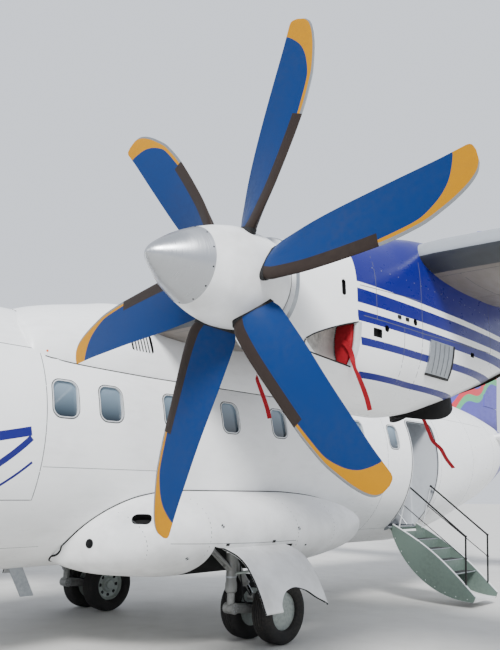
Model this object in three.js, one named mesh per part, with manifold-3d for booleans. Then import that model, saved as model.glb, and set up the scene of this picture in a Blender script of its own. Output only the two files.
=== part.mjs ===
// A twin-engined, high-wing turboprop airliner, parked on its gear with its airstair down.
// Millimetres. +X is to port, +Y aft, +Z up, and the origin is on the ground under the middle of the aircraft.
import * as THREE from "three";
import { mergeVertices } from "three/addons/utils/BufferGeometryUtils.js";
import Module from "manifold-3d";

const wasm = await Module();
wasm.setup();

// Driving dimensions
const GAP = 0.4; // between pieces that touch
const CLEAR = 12; // beside a moving surface or the door
const PIN = { radius: 12, hole: 12.8, reach: 40 }; // hinge pins at the ends of a moving surface
const NOSE_Y = -11300;
const TAIL_Y = 11300;
const BODY_R = 1380; // the constant fuselage section
const BODY_Z = 2200; // and the height of its axis
const SEMI_SPAN = 12750;
const HEIGHT = 8225;
const PROP = { x: 4100, y: -3000, z: 3030, radius: 1800 };
const WHEEL = { y: 170, x: 1588, radius: 350, width: 235, half: 240 };
const NOSE_WHEEL = { y: -7800, x: 0, radius: 290, width: 170, half: 185 };
const AXLE = { main: 36, nose: 30, running: 0.6 }; // radii, and the running clearance round them
const DOOR = { y0: 4050, y1: 4850, z0: 1130, z1: 2780, hingeX: 868, hingeZ: 1095, openDeg: 113 };
const NOSE_BAY = { halfX: 290, y0: -8380, y1: -7200, z: 1350 };
const JACK_PAD = { half: 50, noseY: -6900, noseZ: 806, wingX: 2600, wingY: -650, wingZ: 3338 };
const TOW_LUG = { halfX: 35, halfZ: 28, ahead: 110 };
const STRUT_Y = -350; // the vertical main leg, ahead of its wheels

// Solids and meshes
function solidOf(geometry) {
  const bare = geometry.index ? geometry.toNonIndexed() : geometry.clone();
  bare.deleteAttribute("normal");
  bare.deleteAttribute("uv");
  const merged = mergeVertices(bare, 1e-3);
  const triVerts = new Uint32Array(merged.index.array);
  const make = () =>
    new wasm.Manifold(
      new wasm.Mesh({ numProp: 3, vertProperties: merged.attributes.position.array, triVerts }),
    );
  const solid = make();
  if (solid.volume() > 0) return solid;
  for (let i = 0; i < triVerts.length; i += 3)
    [triVerts[i], triVerts[i + 1]] = [triVerts[i + 1], triVerts[i]];
  return make();
}

function geometryOf(solid) {
  const mesh = solid.getMesh();
  const geometry = new THREE.BufferGeometry();
  const position = new Float32Array(mesh.numVert * 3);
  for (let i = 0; i < mesh.numVert; i++)
    position.set(mesh.vertProperties.subarray(i * mesh.numProp, i * mesh.numProp + 3), i * 3);
  geometry.setAttribute("position", new THREE.BufferAttribute(position, 3));
  geometry.setIndex(new THREE.BufferAttribute(mesh.triVerts, 1));
  geometry.computeVertexNormals();
  return geometry;
}

const join = (...solids) => solids.reduce((a, b) => a.add(b));
const cut = (solid, ...tools) => tools.reduce((a, b) => a.subtract(b), solid);
const biggest = (solid) => solid.decompose().sort((a, b) => b.volume() - a.volume())[0];

// A closed skin through rings of points, each ring going round the same way.
// Each quad is split along its shorter diagonal, so that the two sides of the aircraft match.
function loft(rings) {
  const n = rings[0].length;
  const index = [];
  const flat = rings.flat();
  const span = (p, q) => new THREE.Vector3(...flat[p]).distanceTo(new THREE.Vector3(...flat[q]));
  for (let r = 0; r + 1 < rings.length; r++)
    for (let i = 0; i < n; i++) {
      const a = r * n + i;
      const b = r * n + ((i + 1) % n);
      if (span(a, b + n) <= span(b, a + n)) index.push(a, b, b + n, a, b + n, a + n);
      else index.push(a, b, a + n, b, b + n, a + n);
    }
  const cap = (start, flip) => {
    let a = 0;
    let b = n - 1;
    const add = (p, q, s) => index.push(start + p, start + (flip ? s : q), start + (flip ? q : s));
    while (a + 1 < b) {
      add(a, b, a + 1);
      a++;
      if (a + 1 < b) add(a, b, b - 1);
      b--;
    }
  };
  cap(0, false);
  cap((rings.length - 1) * n, true);
  const geometry = new THREE.BufferGeometry();
  geometry.setAttribute("position", new THREE.Float32BufferAttribute(rings.flat(2), 3));
  geometry.setIndex(index);
  return solidOf(geometry);
}

function box(x0, x1, y0, y1, z0, z1) {
  const geometry = new THREE.BoxGeometry(x1 - x0, y1 - y0, z1 - z0);
  geometry.translate((x0 + x1) / 2, (y0 + y1) / 2, (z0 + z1) / 2);
  return solidOf(geometry);
}

// A round bar from point a to point b, tapering from radius ra to rb
function bar(a, b, ra, rb = ra, segments = 10) {
  const from = new THREE.Vector3(...a);
  const to = new THREE.Vector3(...b);
  const along = to.clone().sub(from);
  const geometry = new THREE.CylinderGeometry(rb, ra, along.length(), segments);
  geometry.applyQuaternion(
    new THREE.Quaternion().setFromUnitVectors(
      new THREE.Vector3(0, 1, 0),
      along.clone().normalize(),
    ),
  );
  geometry.translate(...from.add(to).multiplyScalar(0.5).toArray());
  return solidOf(geometry);
}

// A flat plate: an outline in two axes, extruded along the third ("x", "y" or "z") from low to high
function plate(outline, axis, low, high) {
  const shape = new THREE.Shape(outline.map((p) => new THREE.Vector2(...p)));
  const geometry = new THREE.ExtrudeGeometry(shape, { depth: high - low, bevelEnabled: false });
  const place = new THREE.Matrix4();
  if (axis === "x") place.set(0, 0, 1, low, 1, 0, 0, 0, 0, 1, 0, 0, 0, 0, 0, 1);
  if (axis === "y") place.set(1, 0, 0, 0, 0, 0, 1, low, 0, 1, 0, 0, 0, 0, 0, 1);
  if (axis === "z") place.makeTranslation(0, 0, low);
  geometry.applyMatrix4(place);
  return solidOf(geometry);
}

function turned(solid, matrix) {
  return solidOf(geometryOf(solid).applyMatrix4(matrix));
}
const mirrored = (solid) => turned(solid, new THREE.Matrix4().makeScale(-1, 1, 1));
const moved = (solid, x, y, z) => turned(solid, new THREE.Matrix4().makeTranslation(x, y, z));

// One ring in a plane of constant y: a superellipse with its own height and power above and below midZ
const RING = 28;
function ring(y, { cx = 0, halfWidth, top, bottom, midZ, power = 2, lowPower = power }) {
  const points = [];
  for (let i = 0; i < RING; i++) {
    const angle = ((i + 0.5) / RING) * 2 * Math.PI;
    const c = Math.cos(angle);
    const s = Math.sin(angle);
    const share = 2 / (s > 0 ? power : lowPower);
    const x = cx + halfWidth * Math.sign(c) * Math.abs(c) ** share;
    const height = s > 0 ? top - midZ : midZ - bottom;
    points.push([x, y, midZ + height * Math.sign(s) * Math.abs(s) ** share]);
  }
  return points;
}

// Fuselage stations. Columns: y, top, bottom, halfWidth, midZ
const BODY_STATIONS = [
  [NOSE_Y, 1960, 1860, 50, 1910],
  [-11230, 2130, 1650, 250, 1900],
  [-11050, 2300, 1430, 450, 1900],
  [-10750, 2460, 1240, 655, 1900],
  [-10400, 2610, 1100, 830, 1930],
  [-10000, 2760, 995, 985, 1980],
  [-9700, 2960, 945, 1075, 2030],
  [-9400, 3190, 905, 1150, 2080],
  [-9050, 3390, 870, 1225, 2130],
  [-8600, 3500, 845, 1300, 2170],
  [-7900, 3565, 825, 1358, 2195],
  [-7100, BODY_Z + BODY_R, BODY_Z - BODY_R, BODY_R, BODY_Z],
  [5000, BODY_Z + BODY_R, BODY_Z - BODY_R, BODY_R, BODY_Z],
  [6000, 3570, 990, 1325, 2230],
  [7000, 3520, 1230, 1200, 2330],
  [8000, 3420, 1480, 1020, 2450],
  [9000, 3270, 1800, 770, 2580],
  [9900, 3120, 2150, 500, 2680],
  [10600, 2990, 2480, 250, 2740],
  [10950, 2880, 2650, 90, 2765],
];
const RADOME_Y = -10750;
const FRONT_Y = -7100;
const DOOR_BAY_Y = [3300, 5000];
const TAIL_CONE_END = 10950;

function bodyRing([y, top, bottom, halfWidth, midZ], grow) {
  return ring(y, {
    halfWidth: halfWidth + grow,
    top: top + grow,
    bottom: bottom - grow,
    midZ,
  });
}

function bodyStationAt(y) {
  const i = BODY_STATIONS.findIndex((s) => s[0] >= y);
  const [a, b] = [BODY_STATIONS[Math.max(i - 1, 0)], BODY_STATIONS[i]];
  const t = a === b ? 0 : (y - a[0]) / (b[0] - a[0]);
  return a.map((v, k) => v + t * (b[k] - v));
}

// The stretch of fuselage from y0 to y1
function bodyPart(y0, y1, grow = 0) {
  const inside = BODY_STATIONS.filter((s) => s[0] > y0 + 1 && s[0] < y1 - 1);
  const stations = [bodyStationAt(y0), ...inside, bodyStationAt(y1)];
  return loft(stations.map((s) => bodyRing(s, grow)));
}

// Aerofoil section. Columns: share of the chord, then the upper and lower height as shares of the thickness
const FOIL = [
  [0, 0, 0],
  [0.012, 0.19, 0.14],
  [0.05, 0.36, 0.25],
  [0.13, 0.52, 0.36],
  [0.28, 0.62, 0.42],
  [0.48, 0.57, 0.38],
  [0.72, 0.34, 0.2],
  [1, 0.02, 0.02],
];
function foilAt(share) {
  const i = Math.max(
    1,
    FOIL.findIndex((f) => f[0] >= share),
  );
  const [a, b] = [FOIL[i - 1], FOIL[i]];
  const t = (share - a[0]) / (b[0] - a[0]);
  return [a[1] + t * (b[1] - a[1]), a[2] + t * (b[2] - a[2])];
}

// One ring of a wing, fin or tailplane at a station [span, leading edge, trailing edge, height, thickness].
// upright swaps span and height for a fin. even gives both faces the same height.
function foilRing([span, le, te, height, thick], { grow = 0, even = false, upright = false }) {
  const chord = te - le;
  const upper = [];
  const lower = [];
  FOIL.forEach(([share, up, down]) => {
    const rise = even ? (up + down) / 2 : up;
    const fall = even ? (up + down) / 2 : down;
    const y = le + share * chord + (share === 0 ? -grow : share === 1 ? grow : 0);
    upper.push([y, rise * thick + grow]);
    lower.push([y, -fall * thick - grow]);
  });
  const points = [...upper, ...lower.reverse()];
  return points.map(([y, h]) => (upright ? [height + h, y, span] : [span, y, height + h]));
}

function stationAt(stations, span) {
  const i = Math.max(
    1,
    stations.findIndex((s) => s[0] >= span),
  );
  const [a, b] = [stations[i - 1], stations[i]];
  const t = (span - a[0]) / (b[0] - a[0]);
  return a.map((v, k) => v + t * (b[k] - v));
}

// A moving surface behind the hinge at share of the chord, between spans s0 and s1, with a round nose
function surface(stations, share, s0, s1, options) {
  const rings = [s0, s1].map((span) => {
    const [, le, te, height, thick] = stationAt(stations, span);
    const chord = te - le;
    const [up, down] = foilAt(share);
    const rise = options.even ? (up + down) / 2 : up;
    const fall = options.even ? (up + down) / 2 : down;
    const middle = ((rise - fall) / 2) * thick;
    const radius = ((rise + fall) / 2) * thick;
    const hinge = le + share * chord;
    const points = [];
    for (let i = 0; i <= 8; i++) {
      const angle = Math.PI / 2 + (i / 8) * Math.PI;
      points.push([hinge + radius * Math.cos(angle), middle + radius * Math.sin(angle)]);
    }
    points.push([te, -0.02 * thick], [te, 0.02 * thick]);
    return points.map(([y, h]) =>
      options.upright ? [height + h, y, span] : [span, y, height + h],
    );
  });
  return loft(rings);
}

// The room that a moving surface needs: its chord from ahead of its nose to past its trailing edge
function bay(stations, share, s0, s1, options) {
  const rings = [s0 - CLEAR, s1 + CLEAR].map((span) => {
    const [, le, te, height, thick] = stationAt(stations, span);
    const [up, down] = foilAt(share);
    const front = le + share * (te - le) - ((up + down) / 2) * thick - CLEAR;
    const tall = 600;
    const points = [
      [front, -tall],
      [te + 400, -tall],
      [te + 400, tall],
      [front, tall],
    ];
    return points.map(([y, h]) =>
      options.upright ? [height + h, y, span] : [span, y, height + h],
    );
  });
  return loft(rings);
}

// The pins at both ends of a surface, on its hinge line, or the holes that take them
function hingePins(stations, share, s0, s1, options, radius, reach) {
  const at = (span) => hingePoint(stations, share, span, options);
  return [
    bar(at(s0 - reach), at(s0 + reach), radius),
    bar(at(s1 - reach), at(s1 + reach), radius),
  ];
}

// A moving surface with its pins, and the fixed part cut back to make room for both
function hung(stations, share, s0, s1, options) {
  const pins = hingePins(stations, share, s0, s1, options, PIN.radius, PIN.reach);
  return join(surface(stations, share, s0, s1, options), ...pins);
}
function cutBack(fixed, stations, share, s0, s1, options) {
  const holes = hingePins(stations, share, s0, s1, options, PIN.hole, PIN.reach + 2);
  return cut(fixed, bay(stations, share, s0, s1, options), ...holes);
}

// Where the hinge line of a surface runs, at a span
function hingePoint(stations, share, span, options) {
  const [, le, te, height, thick] = stationAt(stations, span);
  const [up, down] = foilAt(share);
  const middle = options.even ? 0 : ((up - down) / 2) * thick;
  const y = le + share * (te - le);
  return options.upright ? [height, y, span] : [span, y, height + middle];
}

// Planforms. Columns: span, leading edge y, trailing edge y, height, thickness
const WING = [
  [GAP / 2, -1300, 1250, 3525, 400],
  [4700, -1300, 1250, 3525, 400],
  [12450, -790, 400, 3330, 165],
  [SEMI_SPAN, -560, 330, 3322, 90],
];
const TAILPLANE = [
  [560, 8250, 10250, 2800, 215],
  [4500, 8950, 10080, 3080, 115],
  [4650, 9120, 10060, 3090, 60],
];
const FIN = [
  [3130, 7300, 10480, 0, 330],
  [3600, 7900, 10520, 0, 310],
  [7950, 9960, 11255, 0, 150],
  [HEIGHT, 10230, TAIL_Y, 0, 80],
];
// The fillet ahead of the fin, with the same columns
const DORSAL = [
  [3300, 5750, 8700, 0, 260],
  [3600, 6250, 8700, 0, 240],
  [3850, 7100, 8700, 0, 200],
  [4150, 8000, 8700, 0, 120],
];
const AILERON = { share: 0.76, from: 8960, to: 12300 };
const ELEVATOR = { share: 0.7, from: 700, to: 4420 };
const RUDDER = { share: 0.66, from: 3650, to: 7880 };
const FLAPS = [
  { name: "flap_inner", share: 0.74, from: 1330, to: 3480 },
  { name: "flap_outer", share: 0.74, from: 4720, to: 8840 },
];
const LEVEL = {};
const EVEN = { even: true };
const UPRIGHT = { even: true, upright: true };

// Scene graph
const aircraft = new THREE.Group();
const PAINTS = {
  white: [0xe9ebee, 0.35, 0.1],
  metal: [0xa9afb5, 0.35, 0.9],
  blue: [0x17479b, 0.4, 0.1],
  deepBlue: [0x242b80, 0.35, 0.1],
  dark: [0x1c1d20, 0.7, 0.2],
  rubber: [0x17181a, 0.9, 0],
  steel: [0x6f757b, 0.45, 0.8],
  glass: [0x26323c, 0.1, 0.3],
  green: [0x6f8079, 0.6, 0.2],
  red: [0xa31220, 0.8, 0],
  violet: [0x5b56a8, 0.4, 0.1],
};
function node(name, solid, paint) {
  const [color, roughness, metalness] = PAINTS[paint];
  const material = new THREE.MeshStandardMaterial({ color, roughness, metalness });
  const mesh = new THREE.Mesh(geometryOf(solid), material);
  mesh.name = name;
  aircraft.add(mesh);
}
const SIDES = [
  ["port", (solid) => solid],
  ["starboard", mirrored],
];
function pair(name, solid, paint) {
  SIDES.forEach(([side, flip]) => node(`${name}_${side}`, flip(solid), paint));
}

// The whole wing, with room round it for the pieces that it passes through
function wingHalf(grow) {
  const stations = WING.map((s) => [...s]);
  if (grow) stations[0][0] = -1;
  return loft(stations.map((s) => foilRing(s, { grow })));
}
const wingRoom = join(wingHalf(GAP), mirrored(wingHalf(GAP)));

function buildWing() {
  let fixed = wingHalf(0);
  [...FLAPS, { name: "aileron", ...AILERON }].forEach(({ name, share, from, to }) => {
    fixed = cutBack(fixed, WING, share, from, to, LEVEL);
    pair(name, hung(WING, share, from, to, LEVEL), "white");
  });
  const { half, wingX, wingY, wingZ } = JACK_PAD;
  const pad = box(wingX - half, wingX + half, wingY - half, wingY + half, wingZ, wingZ + 60);
  pair("wing", join(fixed, pad), "white");
}

function buildFuselage() {
  node("radome", bodyPart(NOSE_Y, RADOME_Y - GAP / 2), "white");

  const glazingOutline = [
    [-10040, 2640],
    [-8620, 2700],
    [-8660, 3060],
    [-9160, 3280],
    [-9420, 3330],
  ];
  const grown = [
    [-10044, 2636],
    [-8616, 2696],
    [-8656, 3064],
    [-9160, 3285],
    [-9424, 3335],
  ];
  const skin = cut(bodyPart(-10300, -8300), bodyPart(-10310, -8290, -45));
  const glazing = skin.intersect(plate(glazingOutline, "x", -1500, 1500));
  node("cockpit_glazing", glazing, "glass");
  const pocket = cut(bodyPart(-10300, -8300, 30), bodyPart(-10310, -8290, -45 - GAP)).intersect(
    plate(grown, "x", -1600, 1600),
  );
  const noseBay = box(-NOSE_BAY.halfX, NOSE_BAY.halfX, NOSE_BAY.y0, NOSE_BAY.y1, 700, NOSE_BAY.z);
  const front = cut(bodyPart(RADOME_Y + GAP / 2, FRONT_Y - GAP / 2), pocket, noseBay);
  node("fuselage_front", front, "white");

  const middle = cut(bodyPart(FRONT_Y + GAP / 2, DOOR_BAY_Y[0] - GAP / 2), wingRoom);
  const { half, noseY, noseZ } = JACK_PAD;
  const pad = box(-half, half, noseY - half, noseY + half, noseZ, noseZ + 60);
  node("fuselage_middle", join(middle, pad), "white");

  const doorway = join(
    box(700, 1500, DOOR.y0 - 25, DOOR.y1 + 25, DOOR.z0 - 15, DOOR.z1 + 25),
    box(-350, 1080, DOOR.y0 - 25, DOOR.y1 + 25, DOOR.z0 - 15, DOOR.z1 + 150),
  );
  const { hingeX, hingeZ } = DOOR;
  const lugs = [DOOR.y0 - 24, DOOR.y1 + 5].map((y) =>
    plate(
      [
        [760, 1040],
        [hingeX + 8, hingeZ - 26],
        [hingeX + 28, hingeZ],
        [hingeX + 8, hingeZ + 26],
        [820, 1150],
      ],
      "y",
      y,
      y + 19,
    ),
  );
  const pinHole = bar([hingeX, DOOR.y0 - 60, hingeZ], [hingeX, DOOR.y1 + 60, hingeZ], PIN.hole);
  const bayBody = bodyPart(DOOR_BAY_Y[0] + GAP / 2, DOOR_BAY_Y[1] - GAP / 2);
  const rear = cut(join(cut(bayBody, doorway), ...lugs), pinHole);
  node("fuselage_door_bay", rear, "white");
  node("tail_cone", bodyPart(DOOR_BAY_Y[1] + GAP / 2, TAIL_CONE_END), "white");
}

// The cover over the wing's middle. Columns: y, top, halfWidth
const COVER_STATIONS = [
  [-2760, 3450, 1140],
  [-2600, 3530, 1180],
  [-2300, 3650, 1200],
  [-1700, 3795, 1215],
  [-1150, 3900, 1222],
  [1200, 3890, 1222],
  [1900, 3790, 1215],
  [2600, 3650, 1200],
  [3250, 3480, 1160],
];
function buildCover() {
  const rings = COVER_STATIONS.map(([y, top, halfWidth]) =>
    ring(y, { halfWidth, top, bottom: 2600, midZ: 2890, power: 2.15 }),
  );
  const solid = cut(loft(rings), bodyPart(-7000, 4900, GAP), wingRoom);
  node("wing_body_cover", biggest(solid), "white");
}

// Sponsons that house the main gear. Columns: y, centre x, halfWidth, top, bottom, midZ
const SPONSON_STATIONS = [
  [-2030, 630, 180, 1170, 975, 1080],
  [-1985, 700, 365, 1255, 905, 1100],
  [-1895, 790, 560, 1350, 858, 1130],
  [-1700, 870, 770, 1480, 800, 1165],
  [-1400, 945, 900, 1590, 762, 1190],
  [-1050, 1000, 945, 1640, 735, 1208],
  [-800, 1015, 960, 1650, 732, 1210],
  [700, 1015, 960, 1650, 732, 1210],
  [1250, 1000, 915, 1625, 775, 1230],
  [1800, 960, 800, 1560, 830, 1250],
  [2250, 890, 640, 1450, 880, 1250],
  [2560, 800, 430, 1340, 950, 1240],
  [2780, 720, 220, 1290, 1050, 1220],
];
const WELL = { x0: 1180, x1: 1930, y0: -950, y1: 300, z: 1330 };
function buildSponsons() {
  const rings = SPONSON_STATIONS.map(([y, cx, halfWidth, top, bottom, midZ]) =>
    ring(y, { cx, halfWidth, top, bottom, midZ, power: 2.2, lowPower: 2 }),
  );
  const well = box(WELL.x0, WELL.x1, WELL.y0, WELL.y1, 700, WELL.z);
  const solid = cut(loft(rings), bodyPart(-7000, 4900, GAP), well);
  pair("sponson", biggest(solid), "white");
}

// Nacelles. Columns: y, halfWidth, top, bottom, midZ, power above and below
const NACELLE_STATIONS = [
  [-2745, 352, 3382, 2678, 3030, 2.15, 2.15],
  [-2600, 400, 3405, 2590, 3010, 2.3, 2.15],
  [-2350, 455, 3440, 2440, 2960, 2.8, 2.15],
  [-2100, 485, 3500, 2325, 2920, 3.3, 2.15],
  [-1700, 502, 3600, 2250, 2900, 4, 2.15],
  [-1300, 508, 3715, 2235, 2920, 5, 2.15],
  [-800, 505, 3790, 2290, 2950, 5, 2.3],
  [-250, 485, 3800, 2430, 3000, 5, 2.6],
  [350, 440, 3770, 2610, 3100, 4, 2.6],
  [900, 360, 3700, 2810, 3220, 3.5, 2.5],
  [1400, 245, 3600, 3040, 3320, 3, 2.3],
  [1750, 120, 3500, 3260, 3375, 2.5, 2.15],
];
const INTAKE = { apexY: -2560, apexZ: 2670, mouthY: -2180, z0: 2510, z1: 2790, depth: 165, duct: 240 };
const ENGINE = { half: 200, y0: -2450, y1: -1250, z0: 2860, z1: 3300 };
function nacelleHalfWidth(y) {
  const i = NACELLE_STATIONS.findIndex((s) => s[0] >= y);
  const [a, b] = [NACELLE_STATIONS[i - 1], NACELLE_STATIONS[i]];
  return a[1] + ((y - a[0]) / (b[0] - a[0])) * (b[1] - a[1]);
}

// A ramped side intake on the outboard cheek, in the nacelle's own frame
function intakeCut() {
  const { apexY, apexZ, mouthY, z0, z1, depth, duct } = INTAKE;
  const skin = nacelleHalfWidth(apexY);
  const floor = nacelleHalfWidth(mouthY) - depth;
  const ringAt = (y, inner, low, high) => [
    [inner, y, low],
    [900, y, low],
    [900, y, high],
    [inner, y, high],
  ];
  const ramp = loft([
    ringAt(apexY, skin - 5, apexZ - 4, apexZ + 4),
    ringAt(mouthY, floor, z0, z1),
  ]);
  const tunnel = box(floor, nacelleHalfWidth(mouthY) - 22, mouthY - 1, mouthY + duct, z0, z1);
  return join(ramp, tunnel);
}

// The blank that closes an intake mouth, with its streamer hanging outside
function intakeBlank() {
  const { mouthY, z0, z1, depth } = INTAKE;
  const wall = nacelleHalfWidth(mouthY);
  const plug = box(wall - depth + 3, wall - 26, mouthY + 4, mouthY + 90, z0 + 0.6, z1 - 3);
  const tab = box(wall - 60, wall - 35, mouthY - 20, mouthY + 5, z0 + 130, z0 + 200);
  const strap = plate(
    [
      [mouthY - 20, z0 + 200],
      [mouthY - 20, z0 + 130],
      [mouthY + 6, z0 - 30],
      [mouthY + 60, z0 - 470],
      [mouthY + 130, z0 - 470],
      [mouthY + 60, z0 - 30],
      [mouthY - 8, z0 + 130],
      [mouthY - 8, z0 + 200],
    ],
    "x",
    wall - 40,
    wall - 34,
  );
  return [plug, tab, strap];
}

function buildNacelle(side, x) {
  const place = (solid) => moved(solid, x, 0, 0);
  const rings = NACELLE_STATIONS.map(([y, halfWidth, top, bottom, midZ, power, lowPower]) =>
    ring(y, { halfWidth, top, bottom, midZ, power, lowPower }),
  );
  const { half, y0, y1, z0, z1 } = ENGINE;
  const bayRoom = box(-half - 30, half + 30, y0 - 10, y1 + 30, z0 - GAP, z1 + 30);
  const shaftHole = bar([0, -2900, PROP.z], [0, y0, PROP.z], 90, 90, 16);
  const exhaustRoom = exhaustDuct(GAP, -0.6, 1 + GAP / EXHAUST.rise);
  const cheek = intakeCut();
  const body = cut(loft(rings), bayRoom, shaftHole, cheek, mirrored(cheek), exhaustRoom);
  node(`nacelle_${side}`, biggest(cut(place(body), wingRoom)), "deepBlue");

  const shaft = bar([0, -2760 + GAP, PROP.z], [0, y0 + 20, PROP.z], 60, 60, 16);
  node(`engine_${side}`, place(join(box(-half, half, y0, y1, z0, z1), shaft)), "steel");
  node(`exhaust_${side}`, place(exhaustPipe()), "dark");

  const blank = join(...intakeBlank());
  const outward = Math.sign(x);
  node(`intake_blank_outer_${side}`, place(outward > 0 ? blank : mirrored(blank)), "red");
  node(`intake_blank_inner_${side}`, place(outward > 0 ? mirrored(blank) : blank), "red");
}

// The exhaust is a raked oval pipe under the belly of the nacelle. lean and rise run from its outlet to its
// other end, and tilt is how far its outlet climbs from the middle to the rear.
const EXHAUST = { y: -720, z: 2320, halfX: 190, halfY: 400, tilt: 130, lean: -130, rise: 300, wall: 14 };
function exhaustDuct(grow, from, to) {
  const { y, z, halfX, halfY, tilt, lean, rise } = EXHAUST;
  const ovalAt = (t) =>
    Array.from({ length: 24 }, (_, i) => {
      const angle = (i / 24) * 2 * Math.PI;
      return [
        (halfX + grow) * Math.cos(angle),
        y + lean * t + (halfY + grow) * Math.sin(angle),
        z + rise * t + tilt * Math.sin(angle),
      ];
    });
  return loft([ovalAt(to), ovalAt(from)]);
}
const exhaustPipe = () => cut(exhaustDuct(0, 0, 1), exhaustDuct(-EXHAUST.wall, -0.1, 0.6));

// Propeller blade stations. Columns: radius, trailing edge, leading edge, thickness, pitch in degrees
const BLADE_STATIONS = [
  [250, -75, 75, 120, 30],
  [345, -95, 120, 105, 30],
  [430, -160, 185, 74, 26],
  [700, -160, 200, 48, 14],
  [1150, -150, 203, 28, 1.5],
  [1400, -147, 184, 21, -2],
  [1580, -145, 135, 16, -4],
  [1700, -148, 84, 13, -4.8],
  [1760, -150, 44, 10.5, -5.2],
  [1785, -138, 16, 8.5, -5.5],
  [PROP.radius, -100, -20, 6, -5.7],
];
const BLADES = 6;
const BLADE_START_DEG = 22.2;
function blade(angle) {
  const along = [Math.sin(angle), 0, Math.cos(angle)];
  const ahead = [Math.cos(angle), 0, -Math.sin(angle)];
  const shares = [
    [0, 0],
    [0.13, 0.36],
    [0.45, 0.5],
    [1, 0.04],
    [0.45, -0.4],
    [0.13, -0.36],
  ];
  const rings = BLADE_STATIONS.map(([radius, trail, lead, thick, pitchDeg]) => {
    const pitch = THREE.MathUtils.degToRad(pitchDeg);
    return shares.map(([share, rise]) => {
      const chord = lead + share * (trail - lead);
      const lift = rise * thick;
      const across = chord * Math.cos(pitch) + lift * Math.sin(pitch);
      const forward = chord * Math.sin(pitch) - lift * Math.cos(pitch);
      return [0, 1, 2].map((k) => radius * along[k] + across * ahead[k] - (k === 1 ? forward : 0));
    });
  });
  return loft(rings);
}

// Spinner profile. Columns: distance ahead of the blades, radius. The bright cap ends at CAP_AHEAD.
const CAP_AHEAD = 388;
const SPINNER = [
  [-240, 327],
  [-100, 343],
  [60, 341],
  [220, 311],
  [CAP_AHEAD, 253],
  [520, 188],
  [640, 110],
  [710, 50],
  [740, 12],
];
function turnedBody(profile) {
  const points = profile.map(([ahead, radius]) => new THREE.Vector2(radius, ahead));
  const first = new THREE.Vector2(0, profile[0][0]);
  const last = new THREE.Vector2(0, profile.at(-1)[0]);
  const geometry = new THREE.LatheGeometry([first, ...points, last], 24);
  geometry.rotateX(Math.PI);
  return solidOf(geometry);
}
function buildPropeller(side, x) {
  const place = (solid) => moved(solid, x, PROP.y, PROP.z);
  const shell = SPINNER.filter(([ahead]) => ahead < CAP_AHEAD);
  const capEdge = SPINNER.filter(([ahead]) => ahead > CAP_AHEAD);
  const hub = turnedBody([...shell, [CAP_AHEAD - GAP / 2, 253]]);
  const blades = Array.from({ length: BLADES }, (_, k) =>
    blade(THREE.MathUtils.degToRad(BLADE_START_DEG + (360 / BLADES) * k)),
  );
  node(`propeller_${side}`, place(join(hub, ...blades)), "blue");
  node(
    `spinner_cap_${side}`,
    place(turnedBody([[CAP_AHEAD + GAP / 2, 253], ...capEdge])),
    "metal",
  );
}

// Twin wheels on one axle: tyres, discs and the tube between them
function twinWheels({ x, y, radius, width, half }, tube) {
  const tyre = (cx) => {
    const r = radius;
    const w = width / 2;
    const section = [
      [0, 0.55],
      [0.58 * r, 0.55],
      [0.61 * r, 0.84],
      [0.85 * r, 1],
      [0.97 * r, 0.7],
      [r, 0.3],
    ];
    const near = section.map(([pr, share]) => new THREE.Vector2(pr, -share * w));
    const far = section.map(([pr, share]) => new THREE.Vector2(pr, share * w)).reverse();
    const geometry = new THREE.LatheGeometry([...near, ...far], 24);
    geometry.rotateZ(Math.PI / 2);
    geometry.translate(cx, y, radius);
    return solidOf(geometry);
  };
  return join(
    tyre(x - half),
    tyre(x + half),
    bar([x - half, y, radius], [x + half, y, radius], tube, tube, 20),
  );
}

function buildMainGear() {
  const { x, y, radius } = WHEEL;
  const wheels = twinWheels(WHEEL, AXLE.main);
  pair("main_wheels", wheels, "rubber");
  const top = WELL.z - GAP;
  const kneeZ = 400;
  const eye = bar([x - 55, y, radius], [x + 55, y, radius], 75, 75, 20);
  const bore = AXLE.main + AXLE.running;
  const hole = bar([x - 90, y, radius], [x + 90, y, radius], bore, bore, 20);
  const leg = join(
    bar([x, STRUT_Y, 560], [x, STRUT_Y, top], 62),
    bar([x, STRUT_Y, kneeZ - 60], [x, STRUT_Y, 600], 45),
    bar([x - 60, STRUT_Y, kneeZ], [x + 60, STRUT_Y, kneeZ], 62),
    bar([x, STRUT_Y, kneeZ], [x, y, radius], 58, 50),
    bar([x, STRUT_Y, 905], [x, y - 170, 500], 40),
    bar([x, STRUT_Y - 10, 800], [x, -860, 1180], 34),
    bar([x, -860, 1180], [x, -860, top], 40),
    bar([x - 55, -860, 1180], [x + 55, -860, 1180], 45),
    bar([x, STRUT_Y, 1000], [x - 240, -170, top - 40], 30),
    bar([x - 240, -170, top - 80], [x - 240, -170, top], 36),
    eye,
  );
  pair("main_leg", cut(leg, hole), "steel");
}

// The door that hangs outboard of each main leg. Columns: x, z of the outer face
const GEAR_DOOR_CURVE = [
  [1895, 1075],
  [2010, 1043],
  [2110, 1008],
  [2230, 930],
  [2330, 815],
  [2420, 675],
  [2512, 485],
];
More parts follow.
